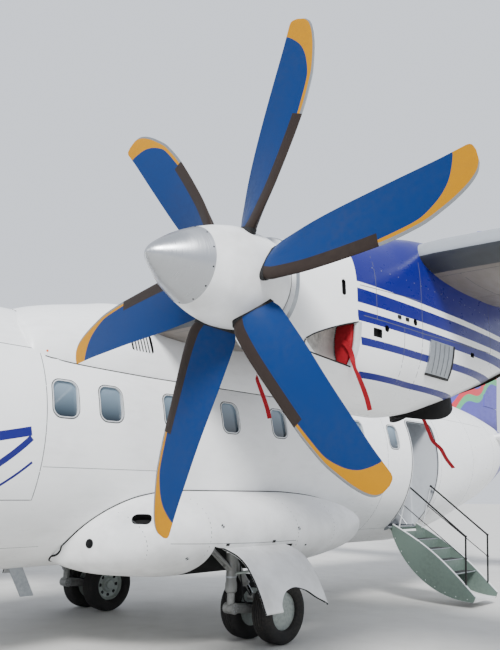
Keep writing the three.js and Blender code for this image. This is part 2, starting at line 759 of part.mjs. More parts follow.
// The arch cut out of its lower edge, in front of the wheels. Columns: y, z
const SCALLOP = [
  [-560, 300],
  [-550, 520],
  [-500, 600],
  [-410, 660],
  [-270, 685],
  [-110, 650],
  [30, 570],
  [200, 470],
  [200, 300],
];
const GEAR_DOOR = { y0: -800, y1: 180, thick: 24, arms: [-740, 60], armWidth: 60, armTop: 1180 };
function buildGearDoors() {
  const { y0, y1, thick, arms, armWidth, armTop } = GEAR_DOOR;
  const inner = GEAR_DOOR_CURVE.map(([x, z]) => [x - 0.8 * thick, z - 0.6 * thick]);
  const panel = plate([...GEAR_DOOR_CURVE, ...inner.reverse()], "y", y0, y1);
  const scallop = plate(SCALLOP, "x", WELL.x0, SEMI_SPAN);
  const wall = WELL.x1 - GAP;
  const lugs = arms.map((y) => box(wall - 34, wall, y, y + armWidth, 1015, armTop));
  pair("main_gear_door", join(cut(panel, scallop), ...lugs), "white");
}

function buildNoseGear() {
  const { y, radius } = NOSE_WHEEL;
  const wheels = twinWheels(NOSE_WHEEL, AXLE.nose);
  node("nose_wheels", wheels, "rubber");
  const eye = bar([-45, y, radius], [45, y, radius], 55, 55, 20);
  const bore = AXLE.nose + AXLE.running;
  const hole = bar([-80, y, radius], [80, y, radius], bore, bore, 20);
  const { halfX, halfZ, ahead } = TOW_LUG;
  const fork = join(
    bar([0, y, radius + 20], [0, y, 700], 42),
    bar([0, y, 640], [0, y, 700], 70),
    box(-halfX, halfX, y - ahead, y, radius - halfZ, radius + halfZ),
    bar([0, y, 470], [0, y + 150, 560], 20),
    bar([0, y + 150, 560], [0, y + 20, 660], 20),
    eye,
  );
  node("nose_fork", cut(fork, hole), "steel");
  const leg = join(
    bar([0, y, 700 + GAP], [0, y, NOSE_BAY.z - GAP], 58),
    bar([0, y, 760], [0, y + 480, NOSE_BAY.z - 40], 30),
    bar([-50, y + 480, NOSE_BAY.z - 40], [50, y + 480, NOSE_BAY.z - 40], 39),
    bar([-110, y, 820], [110, y, 820], 28),
  );
  node("nose_leg", leg, "steel");
  const wall = NOSE_BAY.halfX - GAP;
  const door = plate(
    [
      [-8340, 960],
      [-7240, 960],
      [-7320, 640],
      [-8250, 640],
    ],
    "x",
    wall - 18,
    wall,
  );
  pair("nose_gear_door", door, "white");
}

// The airstair: a piece of the fuselage wall, made shut and then swung down about its hinge.
// Its flight of steps and its handrails are made as they stand when it is open, as (x, z).
const FLIGHT = { count: 5, from: 0.12, share: 0.78, thick: 22 };
const HANDRAIL = {
  head: [1245, 1762],
  foot: [2190, 1018],
  post: [2150, 300],
  brace: [1045, 1075],
  radius: 14,
};
function buildAirstair() {
  const { y0, y1, z0, z1, hingeX, hingeZ, openDeg } = DOOR;
  const arcAt = (z, inset) => Math.sqrt((BODY_R - inset) ** 2 - (z - BODY_Z) ** 2);
  const low = z0 + CLEAR;
  const high = z1 - CLEAR;
  const heights = Array.from({ length: 12 }, (_, i) => low + (i / 11) * (high - low));
  const outer = heights.map((z) => [arcAt(z, 2), z]);
  const inner = heights.map((z) => [arcAt(z, 2) - 75, z]);
  const wall = plate([...outer, ...[...inner].reverse()], "y", y0 + CLEAR, y1 - CLEAR);
  const chordIn = (z) => {
    const t = (z - low) / (high - low);
    return inner[0][0] + t * (inner.at(-1)[0] - inner[0][0]) - 20 - 90 * Math.sin(Math.PI * t);
  };
  const cheekOutline = [
    ...inner.map(([x, z]) => [x + 10, z]),
    ...[...heights].reverse().map((z) => [chordIn(z), z]),
  ];
  const cheeks = [
    plate(cheekOutline, "y", y0 + CLEAR, y0 + CLEAR + 30),
    plate(cheekOutline, "y", y1 - CLEAR - 30, y1 - CLEAR),
  ];
  const swing = new THREE.Matrix4()
    .makeTranslation(hingeX, 0, hingeZ)
    .multiply(new THREE.Matrix4().makeRotationY(THREE.MathUtils.degToRad(openDeg)))
    .multiply(new THREE.Matrix4().makeTranslation(-hingeX, 0, -hingeZ));
  const pin = bar([hingeX, y0 - 22, hingeZ], [hingeX, y1 + 22, hingeZ], PIN.radius);
  const strap = plate(
    [
      [hingeX - 4, hingeZ],
      [hingeX + 12, hingeZ],
      [hingeX + 18, low + 20],
      [hingeX - 30, low + 20],
      [hingeX - 4, low - 12],
    ],
    "y",
    y0 + CLEAR,
    y1 - CLEAR,
  );
  const open = turned(join(wall, strap, pin, ...cheeks), swing);

  const { count, from, share, thick } = FLIGHT;
  const noses = Array.from({ length: count + 1 }, (_, i) => {
    const z = low + (from + (share * i) / count) * (high - low);
    return new THREE.Vector3(chordIn(z) + 20, 0, z).applyMatrix4(swing);
  });
  const tops = noses.flatMap(({ x, z }, i) => (i ? [[noses[i - 1].x, z], [x, z]] : [[x, z]]));
  const under = tops.map(([x, z]) => [x - thick, z - thick]).reverse();
  const flight = plate([...tops, ...under], "y", y0 + CLEAR + 10, y1 - CLEAR - 10);
  const { head, foot, post, brace, radius } = HANDRAIL;
  const rails = [y0 + CLEAR + 15, y1 - CLEAR - 15].flatMap((y) =>
    [
      [head, foot],
      [foot, post],
      [head, brace],
    ].map(([[xa, za], [xb, zb]]) => bar([xa, y, za], [xb, y, zb], radius, radius, 8)),
  );
  node("airstair_door", join(open, flight, ...rails), "green");
}

function buildTail() {
  const tailBody = bodyPart(DOOR_BAY_Y[1], TAIL_CONE_END, GAP);
  const foil = (rows, options) => loft(rows.map((row) => foilRing(row, options)));
  const fixed = (solid, rows, { share, from, to }, options) =>
    biggest(cut(cutBack(solid, rows, share, from, to, options), tailBody));
  const upright = join(foil(FIN, UPRIGHT), foil(DORSAL, UPRIGHT));
  node("fin", fixed(upright, FIN, RUDDER, UPRIGHT), "violet");
  node("rudder", hung(FIN, RUDDER.share, RUDDER.from, RUDDER.to, UPRIGHT), "violet");
  pair("tailplane", fixed(foil(TAILPLANE, EVEN), TAILPLANE, ELEVATOR, EVEN), "white");
  pair("elevator", hung(TAILPLANE, ELEVATOR.share, ELEVATOR.from, ELEVATOR.to, EVEN), "white");
}

function buildAerials() {
  const bladeShape = [
    [-2265, 870],
    [-2105, 870],
    [-1935, 540],
    [-2090, 540],
  ];
  const aerial = cut(plate(bladeShape, "x", 192, 208), bodyPart(-4000, 0, GAP));
  node("belly_aerial", aerial, "metal");
}

buildFuselage();
buildCover();
buildSponsons();
buildWing();
buildNacelle("port", PROP.x);
buildNacelle("starboard", -PROP.x);
buildPropeller("port", PROP.x);
buildPropeller("starboard", -PROP.x);
buildMainGear();
buildGearDoors();
buildNoseGear();
buildAirstair();
buildTail();
buildAerials();

export default aircraft;
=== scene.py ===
import math
from functools import partial
import bmesh
import bpy
import numpy as np
from mathutils import Matrix, Vector
from mathutils.bvhtree import BVHTree
from mathutils.geometry import barycentric_transform


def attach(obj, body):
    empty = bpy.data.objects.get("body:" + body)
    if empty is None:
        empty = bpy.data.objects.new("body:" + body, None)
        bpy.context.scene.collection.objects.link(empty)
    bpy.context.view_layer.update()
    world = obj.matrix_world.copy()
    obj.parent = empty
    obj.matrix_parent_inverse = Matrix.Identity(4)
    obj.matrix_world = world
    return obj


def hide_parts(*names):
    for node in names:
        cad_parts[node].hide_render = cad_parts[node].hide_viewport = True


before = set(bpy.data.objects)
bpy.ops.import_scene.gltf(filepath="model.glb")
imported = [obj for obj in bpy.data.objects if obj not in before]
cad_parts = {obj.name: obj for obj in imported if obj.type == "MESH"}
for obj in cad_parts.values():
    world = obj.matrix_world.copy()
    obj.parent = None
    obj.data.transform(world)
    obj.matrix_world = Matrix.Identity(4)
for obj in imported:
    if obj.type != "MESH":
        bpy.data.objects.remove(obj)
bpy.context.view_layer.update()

# Driving dimensions, in metres: +X to port, +Y aft, +Z up
BODY_R, BODY_Z = 1.38, 2.20
SEMI_SPAN, HEIGHT = 12.75, 8.225
PROP = {"x": 4.1, "y": -3.0, "z": 3.03}
SIDES = (("port", 1), ("starboard", -1))
# Width of a panel seam, how far it stands out of its skin, and how deep a painted mark goes and stands out
SEAM, LIFT, MARK = 0.005, 0.0006, (-0.002, 0.0012)
X, Y, Z = Vector((1, 0, 0)), Vector((0, 1, 0)), Vector((0, 0, 1))

# The photograph's camera, in the aircraft's frame
CAMERA = {"at": (7.301, -6.280, 1.629), "yaw": 42.684, "pitch": 13.273, "roll": 0.567}
FOCAL_PX, IMAGE_HEIGHT_PX, SENSOR_MM = 709.8, 650, 36


# Curves through short tables
def smooth(rows, step, tip=False):
    """Rows about step apart on a curve through the rows, without overshoot. tip rounds off the first row."""
    rows = np.array(rows, float)
    if tip:
        ghost = rows[1].copy()
        ghost[1:] = 2 * rows[0][1:] - rows[1][1:]
        rows = np.vstack([ghost, rows])
    gaps = np.sqrt((np.diff(rows, axis=0) ** 2).sum(axis=1))
    slopes = np.diff(rows, axis=0) / gaps[:, None]
    tangent = np.zeros_like(rows)
    tangent[0], tangent[-1] = slopes[0], slopes[-1]
    for i, (a, b) in enumerate(zip(slopes, slopes[1:]), 1):
        same = a * b > 0
        tangent[i] = np.where(same, 2 * a * b / np.where(same, a + b, 1), 0)
    out = []
    for i in range(1 if tip else 0, len(rows) - 1):
        gap, count = gaps[i], max(1, math.ceil(gaps[i] / step))
        for t in np.arange(count) / count:
            start = (2 * t**3 - 3 * t**2 + 1) * rows[i] + (t**3 - 2 * t**2 + t) * gap * tangent[i]
            end = (3 * t**2 - 2 * t**3) * rows[i + 1] + (t**3 - t**2) * gap * tangent[i + 1]
            out.append(start + end)
    return np.array(out + [rows[-1]])


def row_at(rows, y):
    """The other columns of a table where its first is y."""
    first, *rest = zip(*rows)
    return [np.interp(y, first, column) for column in rest]


def oval(y, cx, half, top, bottom, mid, power=2.0, low=None, n=96):
    """A ring in the plane at y: a superellipse with its own heights and powers above and below mid."""
    angle = (np.arange(n) + 0.5) / n * 2 * np.pi
    c, s = np.cos(angle), np.sin(angle)
    share = np.where(s > 0, 2 / power, 2 / (low or power))
    height = np.where(s > 0, top - mid, mid - bottom)
    x = cx + half * np.sign(c) * np.abs(c) ** share
    return np.stack([x, np.full(n, y), mid + height * np.sign(s) * np.abs(s) ** share], axis=1)


def rounded(width, height, radius, steps=6):
    """A rounded rectangle round the origin, as 2-D points."""
    out = []
    for turn, (sx, sy) in enumerate(((1, 1), (-1, 1), (-1, -1), (1, -1))):
        for k in range(steps + 1):
            angle = math.pi / 2 * (turn + k / steps)
            cx, cy = sx * (width / 2 - radius), sy * (height / 2 - radius)
            out.append((cx + radius * math.cos(angle), cy + radius * math.sin(angle)))
    return out


def disc(radius, n=24, start=0.0):
    """Points round the origin. start turns them, in steps of their own spacing."""
    angles = [2 * math.pi * (k + start) / n for k in range(n)]
    return [(radius * math.cos(a), radius * math.sin(a)) for a in angles]


def path(points, step=0.04, closed=False):
    """2-D points filled in so that none lie further apart than step."""
    out = []
    for (x0, y0), (x1, y1) in zip(points, points[1:] + points[:1] if closed else points[1:]):
        count = max(1, math.ceil(math.hypot(x1 - x0, y1 - y0) / step))
        out += [(x0 + (x1 - x0) * k / count, y0 + (y1 - y0) * k / count) for k in range(count)]
    return out if closed else out + [points[-1]]


def shifted(outline, u, v):
    return [(a + u, b + v) for a, b in outline]


def looking(at, ahead):
    """A frame at a point whose third axis points ahead."""
    up = Y if abs(ahead.dot(Z)) > 0.99 else Z
    side = up.cross(ahead).normalized()
    place = Matrix((side, ahead.cross(side), ahead)).transposed().to_4x4()
    place.translation = at
    return place


# Meshes
AXES = {
    "x": Matrix(((0, 0, 1, 0), (1, 0, 0, 0), (0, 1, 0, 0), (0, 0, 0, 1))),
    "y": Matrix(((1, 0, 0, 0), (0, 0, 1, 0), (0, 1, 0, 0), (0, 0, 0, 1))),
    "z": Matrix.Identity(4),
}
SHARP = 32  # degrees between faces that meet in an edge
ALIKE = 0.7  # cosine between a face and the skin whose shading it keeps


class Parts:
    """Shapes for one mesh, mirrored where sign is -1 and then moved by x. mat numbers the materials."""

    def __init__(self, sign=1, x=0):
        self.verts, self.faces, self.mats, self.sign, self.x = [], [], [], sign, x

    def add(self, verts, faces, mat=0):
        base = len(self.verts)
        self.verts += [tuple(float(c) for c in v) for v in verts]
        self.faces += [tuple(base + i for i in f) for f in faces]
        self.mats += [mat] * len(faces)

    def loft(self, rings, mat=0, cap=None, hoop=False):
        """A skin over rings of points, with a cap at both ends, or joined end to end as a hoop."""
        n, count = len(rings[0]), len(rings)
        faces = []
        for r in range(count if hoop else count - 1):
            a, b = r * n, (r + 1) % count * n
            faces += [(a + i, a + (i + 1) % n, b + (i + 1) % n, b + i) for i in range(n)]
        self.add([v for ring in rings for v in ring], faces, mat)
        if not hoop:
            last = len(self.verts)
            first = last - n * count
            self.faces += [tuple(range(first, first + n)), tuple(range(last - n, last))]
            self.mats += [mat if cap is None else cap] * 2
        return self

    def prism(self, outline, place, low, high, mat=0, cap=None):
        """An outline extruded from low to high along the third axis of the frame place."""
        self.loft([[place @ Vector((u, v, w)) for u, v in outline] for w in (low, high)], mat, cap)

    def plate(self, outline, axis, low, high, mat=0):
        self.prism(outline, AXES[axis], low, high, mat)

    def box(self, lo, hi, mat=0):
        (x0, y0, z0), (x1, y1, z1) = lo, hi
        self.plate([(x0, y0), (x1, y0), (x1, y1), (x0, y1)], "z", z0, z1, mat)

    def turn(self, profile, at, ahead, mat=0, n=32, hoop=False):
        """A body of revolution round the line that points ahead. profile: distance along, radius."""
        place = looking(Vector(at), Vector(ahead).normalized())
        rings = [[place @ Vector((*p, along)) for p in disc(r, n)] for along, r in profile]
        self.loft(rings, mat, hoop=hoop)

    def pin(self, at, ahead, half, end, bevel, radius, mat=0, n=28):
        """A round piece with its middle at a point, and with bevelled ends."""
        inner = half - bevel
        self.turn([(-half, end), (-inner, radius), (inner, radius), (half, end)], at, ahead, mat, n)

    def bar(self, a, b, ra, rb=None, mat=0, n=20):
        along = Vector(b) - Vector(a)
        self.turn([(0, ra), (along.length, ra if rb is None else rb)], a, along, mat, n)

    def tube(self, points, radius, mat=0, n=8):
        points = [Vector(p) for p in points]
        rings = []
        for i, p in enumerate(points):
            ahead = (points[min(i + 1, len(points) - 1)] - points[max(i - 1, 0)]).normalized()
            rings.append([looking(p, ahead) @ Vector((*q, 0)) for q in disc(radius, n)])
        self.loft(rings, mat)

    def object(self, name, *materials, sharp=SHARP):
        mesh = bpy.data.meshes.new(name)
        mesh.from_pydata([(self.sign * a + self.x, b, c) for a, b, c in self.verts], [], self.faces)
        for m in materials:
            mesh.materials.append(m)
        mesh.polygons.foreach_set("material_index", self.mats)
        work = bmesh.new()
        work.from_mesh(mesh)
        bmesh.ops.recalc_face_normals(work, faces=work.faces)
        work.to_mesh(mesh)
        work.free()
        shade(mesh, sharp)
        obj = bpy.data.objects.new(name, mesh)
        bpy.context.scene.collection.objects.link(obj)
        return obj


def shade(mesh, sharp):
    mesh.polygons.foreach_set("use_smooth", [True] * len(mesh.polygons))
    mesh.set_sharp_from_angle(angle=math.radians(sharp))


class Skin:
    """The surface of a finished mesh. What finds a point on it gives the point and its smooth normal."""

    def __init__(self, obj):
        mesh = obj.data
        mesh.calc_loop_triangles()
        self.verts = [v.co.copy() for v in mesh.vertices]
        self.normals = [v.normal.copy() for v in mesh.vertices]
        self.tris = [tuple(t.vertices) for t in mesh.loop_triangles]
        self.tree = BVHTree.FromPolygons(self.verts, self.tris)

    def normal(self, point):
        at, _, index, _ = self.tree.find_nearest(point)
        t = self.tris[index]
        n = barycentric_transform(at, *[self.verts[i] for i in t], *[self.normals[i] for i in t])
        return n.normalized()

    def cast(self, origin, toward):
        at, _, _, _ = self.tree.ray_cast(Vector(origin), Vector(toward))
        return (at, self.normal(at)) if at else None

    def nearest(self, point):
        return self.tree.find_nearest(Vector(point))[:2]

    def side(self, sign, y, z):
        """The point of the flank at y, z, seen from outboard."""
        return self.cast((sign * 20, y, z), (-sign, 0, 0))

    def front(self, sign, x, z):
        return self.cast((sign * x, -20, z), (0, 1, 0))

    def under(self, x, y):
        return self.cast((x, y, -5), (0, 0, 1))

    def over(self, x, y):
        return self.cast((x, y, 20), (0, 0, -1))


def carve(obj, *cutters):
    """Cuts cutters out of obj. What is left of its own skin keeps the shading that it had."""
    skin = Skin(obj)
    own = len(obj.data.materials)
    for cutter in cutters:
        mod = obj.modifiers.new("cut", "BOOLEAN")
        mod.operation, mod.solver, mod.material_mode, mod.object = "DIFFERENCE", "EXACT", "TRANSFER", cutter
    mesh = bpy.data.meshes.new_from_object(obj.evaluated_get(bpy.context.evaluated_depsgraph_get()))
    obj.modifiers.clear()
    obj.data = mesh
    for cutter in cutters:
        bpy.data.objects.remove(cutter)
    shade(mesh, SHARP)
    found = {}
    normals = [(0, 0, 0)] * len(mesh.loops)
    for poly in mesh.polygons:
        for i in poly.loop_indices if poly.material_index < own else ():
            v = mesh.loops[i].vertex_index
            if v not in found:
                found[v] = skin.normal(mesh.vertices[v].co)
            if found[v].dot(poly.normal) > ALIKE:
                normals[i] = found[v]
    mesh.normals_split_custom_set(normals)


def strip(parts, spots, width=SEAM, lift=LIFT, sink=0.002, mat=0, closed=False):
    """A thin band along spots, each a point and its normal, such as a seam or a gasket."""
    spots = [s for s in spots if s]
    rings = []
    n = len(spots)
    for i, (at, normal) in enumerate(spots):
        after = spots[(i + 1) % n if closed else min(i + 1, n - 1)][0]
        before = spots[i - 1 if closed else max(i - 1, 0)][0]
        side = normal.cross(after - before).normalized() * width / 2
        up, down = normal * lift, normal * -sink
        rings.append([at + side + up, at - side + up, at - side + down, at + side + down])
    parts.loft(rings + rings[:1] if closed else rings, mat)


def line(parts, hit, points, width=SEAM, lift=LIFT, mat=0, step=0.04, closed=False):
    """A strip along a line in two coordinates. hit turns them into a point of a skin and its normal."""
    strip(parts, [hit(*p) for p in path(points, step, closed)], width, lift, mat=mat, closed=closed)


def stamp(parts, spot, outline, low, high, mat=0):
    """An outline extruded from low to high along the normal of a spot on a skin."""
    parts.prism(outline, looking(*spot), low, high, mat)


def patch(parts, hit, corners, lift=0.004, sink=0.012, mat=0, n=10):
    """A four-cornered piece that lies on a skin, from corners in two coordinates."""
    a, b, c, d = [Vector(corner) for corner in corners]
    layers = []
    for j in range(n + 1):
        low, high = a.lerp(b, j / n), d.lerp(c, j / n)
        spots = [hit(*low.lerp(high, i / n)) for i in range(n + 1)]
        upper, lower = ([at + normal * out for at, normal in spots] for out in (lift, -sink))
        layers.append(upper + lower[::-1])
    parts.loft(layers, mat)


def seam_across(rings, inside):
    """Where a run of rings crosses another body: one line for each crossing, in order along the rings."""
    lines = {}
    for ring in rings:
        flags = [inside(p) for p in ring]
        found = []
        for i in range(len(ring)):
            j = (i + 1) % len(ring)
            if flags[i] != flags[j]:
                a, b = np.array(ring[i]), np.array(ring[j])
                for _ in range(16):
                    m = (a + b) / 2
                    a, b = (m, b) if inside(m) == flags[i] else (a, m)
                found.append(tuple((a + b) / 2))
        for k, p in enumerate(sorted(found, key=lambda p: (p[0] > 0, p[2]))):
            lines.setdefault(k, []).append(p)
    return list(lines.values())


# Materials
def tint(code):
    """A linear colour from its sRGB code."""
    parts = [int(code[i : i + 2], 16) / 255 for i in (0, 2, 4)]
    return tuple(c / 12.92 if c <= 0.04045 else ((c + 0.055) / 1.055) ** 2.4 for c in parts)


class Look:
    """A procedural material that is built up from the piece's own coordinates."""

    def __init__(self, name):
        self.material = bpy.data.materials.new(name)
        self.material.use_nodes = True
        self.tree = self.material.node_tree
        self.shader = self.tree.nodes["Principled BSDF"]
        self.here = self.node("TexCoord").outputs["Object"]
        self.x, self.y, self.z = self.split(self.here)

    def node(self, kind, *inputs):
        """A new node, with values or links for its first inputs."""
        node = self.tree.nodes.new("ShaderNode" + kind)
        for socket, value in zip(node.inputs, inputs):
            self.plug(socket, value)
        return node

    def plug(self, socket, value):
        if isinstance(value, bpy.types.NodeSocket):
            self.tree.links.new(value, socket)
        else:
            socket.default_value = (*value, 1) if socket.type == "RGBA" else value

    def split(self, vector):
        return self.node("SeparateXYZ", vector).outputs

    def calc(self, operation, a, b=0.0):
        node = self.node("Math", a, b)
        node.operation = operation
        return node.outputs[0]

    def times(self, a, b):
        return self.calc("MULTIPLY", a, b)

    def plus(self, a, b):
        return self.calc("ADD", a, b)

    def span(self, value, low, high):
        """0 at low and 1 at high, held at both ends."""
        return self.node("MapRange", value, low, high, 0.0, 1.0).outputs[0]

    def noise(self, scale, detail=3.0, stretch=(1, 1, 1)):
        mapping = self.node("Mapping", self.here)
        mapping.inputs["Scale"].default_value = stretch
        node = self.node("TexNoise", mapping.outputs[0])
        node.inputs["Scale"].default_value = scale
        node.inputs["Detail"].default_value = detail
        return node.outputs[0]

    def bands(self, value, low, high, colors):
        """Flat bands of colour: pairs of where a band starts and its colour."""
        node = self.node("ValToRGB", self.span(value, low, high))
        ramp = node.color_ramp
        ramp.interpolation = "CONSTANT"
        for i, (start, color) in enumerate(colors):
            place = min(max((start - low) / (high - low), 0), 1)
            element = ramp.elements[0] if i == 0 else ramp.elements.new(place)
            element.position = place
            element.color = (*color, 1)
        ramp.elements.remove(ramp.elements[-1])
        return node.outputs[0]

    def mix(self, share, a, b):
        node = self.node("Mix", share)
        node.data_type = "RGBA"
        self.plug(node.inputs[6], a)
        self.plug(node.inputs[7], b)
        return node.outputs[2]

    def worn(self, color, rough, metal=0.0, dirt="4a4338", amount=0.3, grain=14, depth=0.3,
             stretch=(1, 1, 1), shine=0.3):
        """Finishes the surface: blotches and streaks of dirt, uneven gloss, and a fine relief."""
        streak = self.noise(grain, 6, stretch)
        grime = self.times(self.span(self.noise(1.7, 5), 0.35, 0.8), self.span(streak, 0.3, 0.75))
        grime = self.times(grime, amount)
        gloss = self.plus(self.span(streak, -1.5, 2.0), rough - 0.57)
        bump = self.node("Bump", depth, 0.001)
        self.plug(bump.inputs["Height"], self.noise(grain * 4, 3))
        for name, value in (
            ("Base Color", self.mix(grime, color, tint(dirt))),
            ("Roughness", self.plus(gloss, self.times(grime, 0.5))),
            ("Metallic", metal),
            ("Specular IOR Level", shine),
            ("Normal", bump.outputs[0]),
        ):
            self.plug(self.shader.inputs[name], value)
        return self.material


def plain(name, code, rough, metal=0.0, **wear):
    return Look(name).worn(tint(code), rough, metal, **wear)


# The last of these colours is a painted shade, mixed in low down on the fuselage and on white parts
WHITE, DEEP_BLUE, VIOLET, LOW_SHADE = (tint(code) for code in ("f4f5f5", "131970", "5552a4", "6d675b"))
ALONG = (1, 0.35, 1)  # stretches streaks along the aircraft


def livery():
    """White, with a violet tail behind a slanted edge, and painted shade that darkens it towards the belly,
    uneven by noise.
    """
    look = Look("paint_livery")
    slant = look.plus(look.y, look.times(look.z, -0.6))
    tail = look.bands(slant, 4.0, 10.0, [(4.0, WHITE), (7.24, VIOLET)])
    # Painted shade: darker towards the belly, uneven by streaky noise
    belly_shade = look.times(look.span(look.z, 1.7, 0.8), look.span(look.noise(2.2, 6, (1, 0.25, 1)), 0.3, 0.8))
    return look.worn(look.mix(look.times(belly_shade, 0.55), tail, LOW_SHADE), 0.32, amount=0.16, stretch=ALONG)


def fin_paint():
    """Violet, with a green and a red band that run in waves across the foot of the fin."""
    look = Look("paint_fin")
    wave = look.times(look.calc("SINE", look.times(look.y, 4.2)), 0.10)
    climb = look.plus(look.z, look.times(look.y, -0.375))
    colors = [(-2.0, VIOLET), (0.30, tint("5aa777")), (0.44, tint("c63a45")), (0.62, VIOLET)]
    bands = look.bands(look.plus(climb, wave), -2.0, 6.0, colors)
    return look.worn(bands, 0.34, amount=0.16, stretch=ALONG, shine=0.2)


def white_paint():
    look = Look("paint_white")
    # Painted shade: darker towards the bottom, uneven by noise
    low = look.times(look.span(look.z, 1.7, 0.85), look.span(look.noise(3.1, 6), 0.3, 0.8))
    return look.worn(look.mix(look.times(low, 0.4), WHITE, LOW_SHADE), 0.34, amount=0.18)


def nacelle_paint():
    """Deep blue above, white below and at the front, stripes between, and near black below at the rear,
    behind the exhaust: soot, and painted shade of the underside.
    """
    look = Look("paint_nacelle")
    edges = [2.0, 2.425, 2.465, 2.645, 2.70, 2.815, 2.890, 2.945, 3.05, 3.10]
    colors = [(z, DEEP_BLUE if i % 2 else WHITE) for i, z in enumerate(edges)]
    slant = look.times(look.span(look.z, 2.85, 2.45), -0.10)
    front = look.calc("LESS_THAN", look.plus(look.y, slant), -2.205)
    color = look.mix(front, look.bands(look.z, 2.0, 3.8, colors), WHITE)
    # Near black along the lower rear behind the exhaust: soot, and painted shade of the underside
    ragged = look.times(look.noise(5, 6, (1, 0.3, 1)), 0.06)
    above = look.plus(look.z, look.times(look.y, -0.354))
    soot_and_shade = look.span(look.plus(above, ragged), 2.70, 2.65)
    under = look.times(soot_and_shade, look.span(look.y, -0.62, -0.45))
    shine = look.times(look.calc("SUBTRACT", 1.0, under), 0.22)
    color = look.mix(under, color, tint("1b1814"))
    return look.worn(color, 0.3, amount=0.08, stretch=(1, 0.4, 1), shine=shine)


def wing_paint():
    """White above and grey-brown below, with a bare leading edge that is darker underneath: both darker
    colours are painted shade, chosen by faces that point down.
    """
    look = Look("paint_wing")
    out = look.calc("MAXIMUM", look.plus(look.calc("ABSOLUTE", look.x), -4.7), 0.0)
    behind = look.calc("SUBTRACT", look.y, look.plus(look.times(out, 0.0658), -1.3))
    normal = look.split(look.node("NewGeometry").outputs["Normal"])
    # Faces that point down get the darker colours: painted shade of the underside
    under = look.calc("LESS_THAN", normal[2], -0.12)
    edge = look.calc("LESS_THAN", behind, 0.19)
    bare = look.mix(under, tint("b4b9be"), tint("4b4e52"))
    color = look.mix(edge, look.mix(under, WHITE, tint("77706a")), bare)
    return look.worn(color, 0.36, look.times(edge, 0.6), amount=0.3, stretch=(1, 0.3, 1))


def blade_paint():
    """Blue, with a dark heated boot, a bare leading edge and a yellow tip. note holds the radius, the
    distance behind the leading edge and the distance outboard of the yellow edge."""
    look = Look("paint_blade")
    attribute = look.node("Attribute")
    attribute.attribute_name = "note"
    radius, behind, outboard = look.split(attribute.outputs["Vector"])
    color = look.mix(look.calc("GREATER_THAN", outboard, 0.0), tint("072d62"), tint("ae7700"))
    outer = look.calc("GREATER_THAN", radius, 1.148)
    edge = look.calc("LESS_THAN", behind, look.calc("SUBTRACT", 0.08, look.times(outer, 0.06)))
    color = look.mix(edge, color, look.mix(outer, tint("2b2320"), tint("8d9093")))
    metal = look.times(look.times(edge, outer), 0.8)
    return look.worn(color, 0.42, metal, amount=0.22, grain=24, shine=0.12)


def spinner_metal():
    """Metal turned on a lathe, with fine marks round its axis."""
    look = Look("metal_spinner")
    look.shader.inputs["Anisotropic"].default_value = 0.5
    return look.worn(tint("b4b6b9"), 0.32, 1.0, amount=0.12, grain=30, stretch=(0.2, 6, 0.2), depth=0.2)


def glass(name, low, high, z0, z1):
    """A pane that looks paler towards its upper edge."""
    look = Look(name)
    look.shader.inputs["Coat Weight"].default_value = 0.8
    color = look.mix(look.span(look.z, z0, z1), tint(low), tint(high))
    return look.worn(color, 0.12, amount=0.08, depth=0.05)


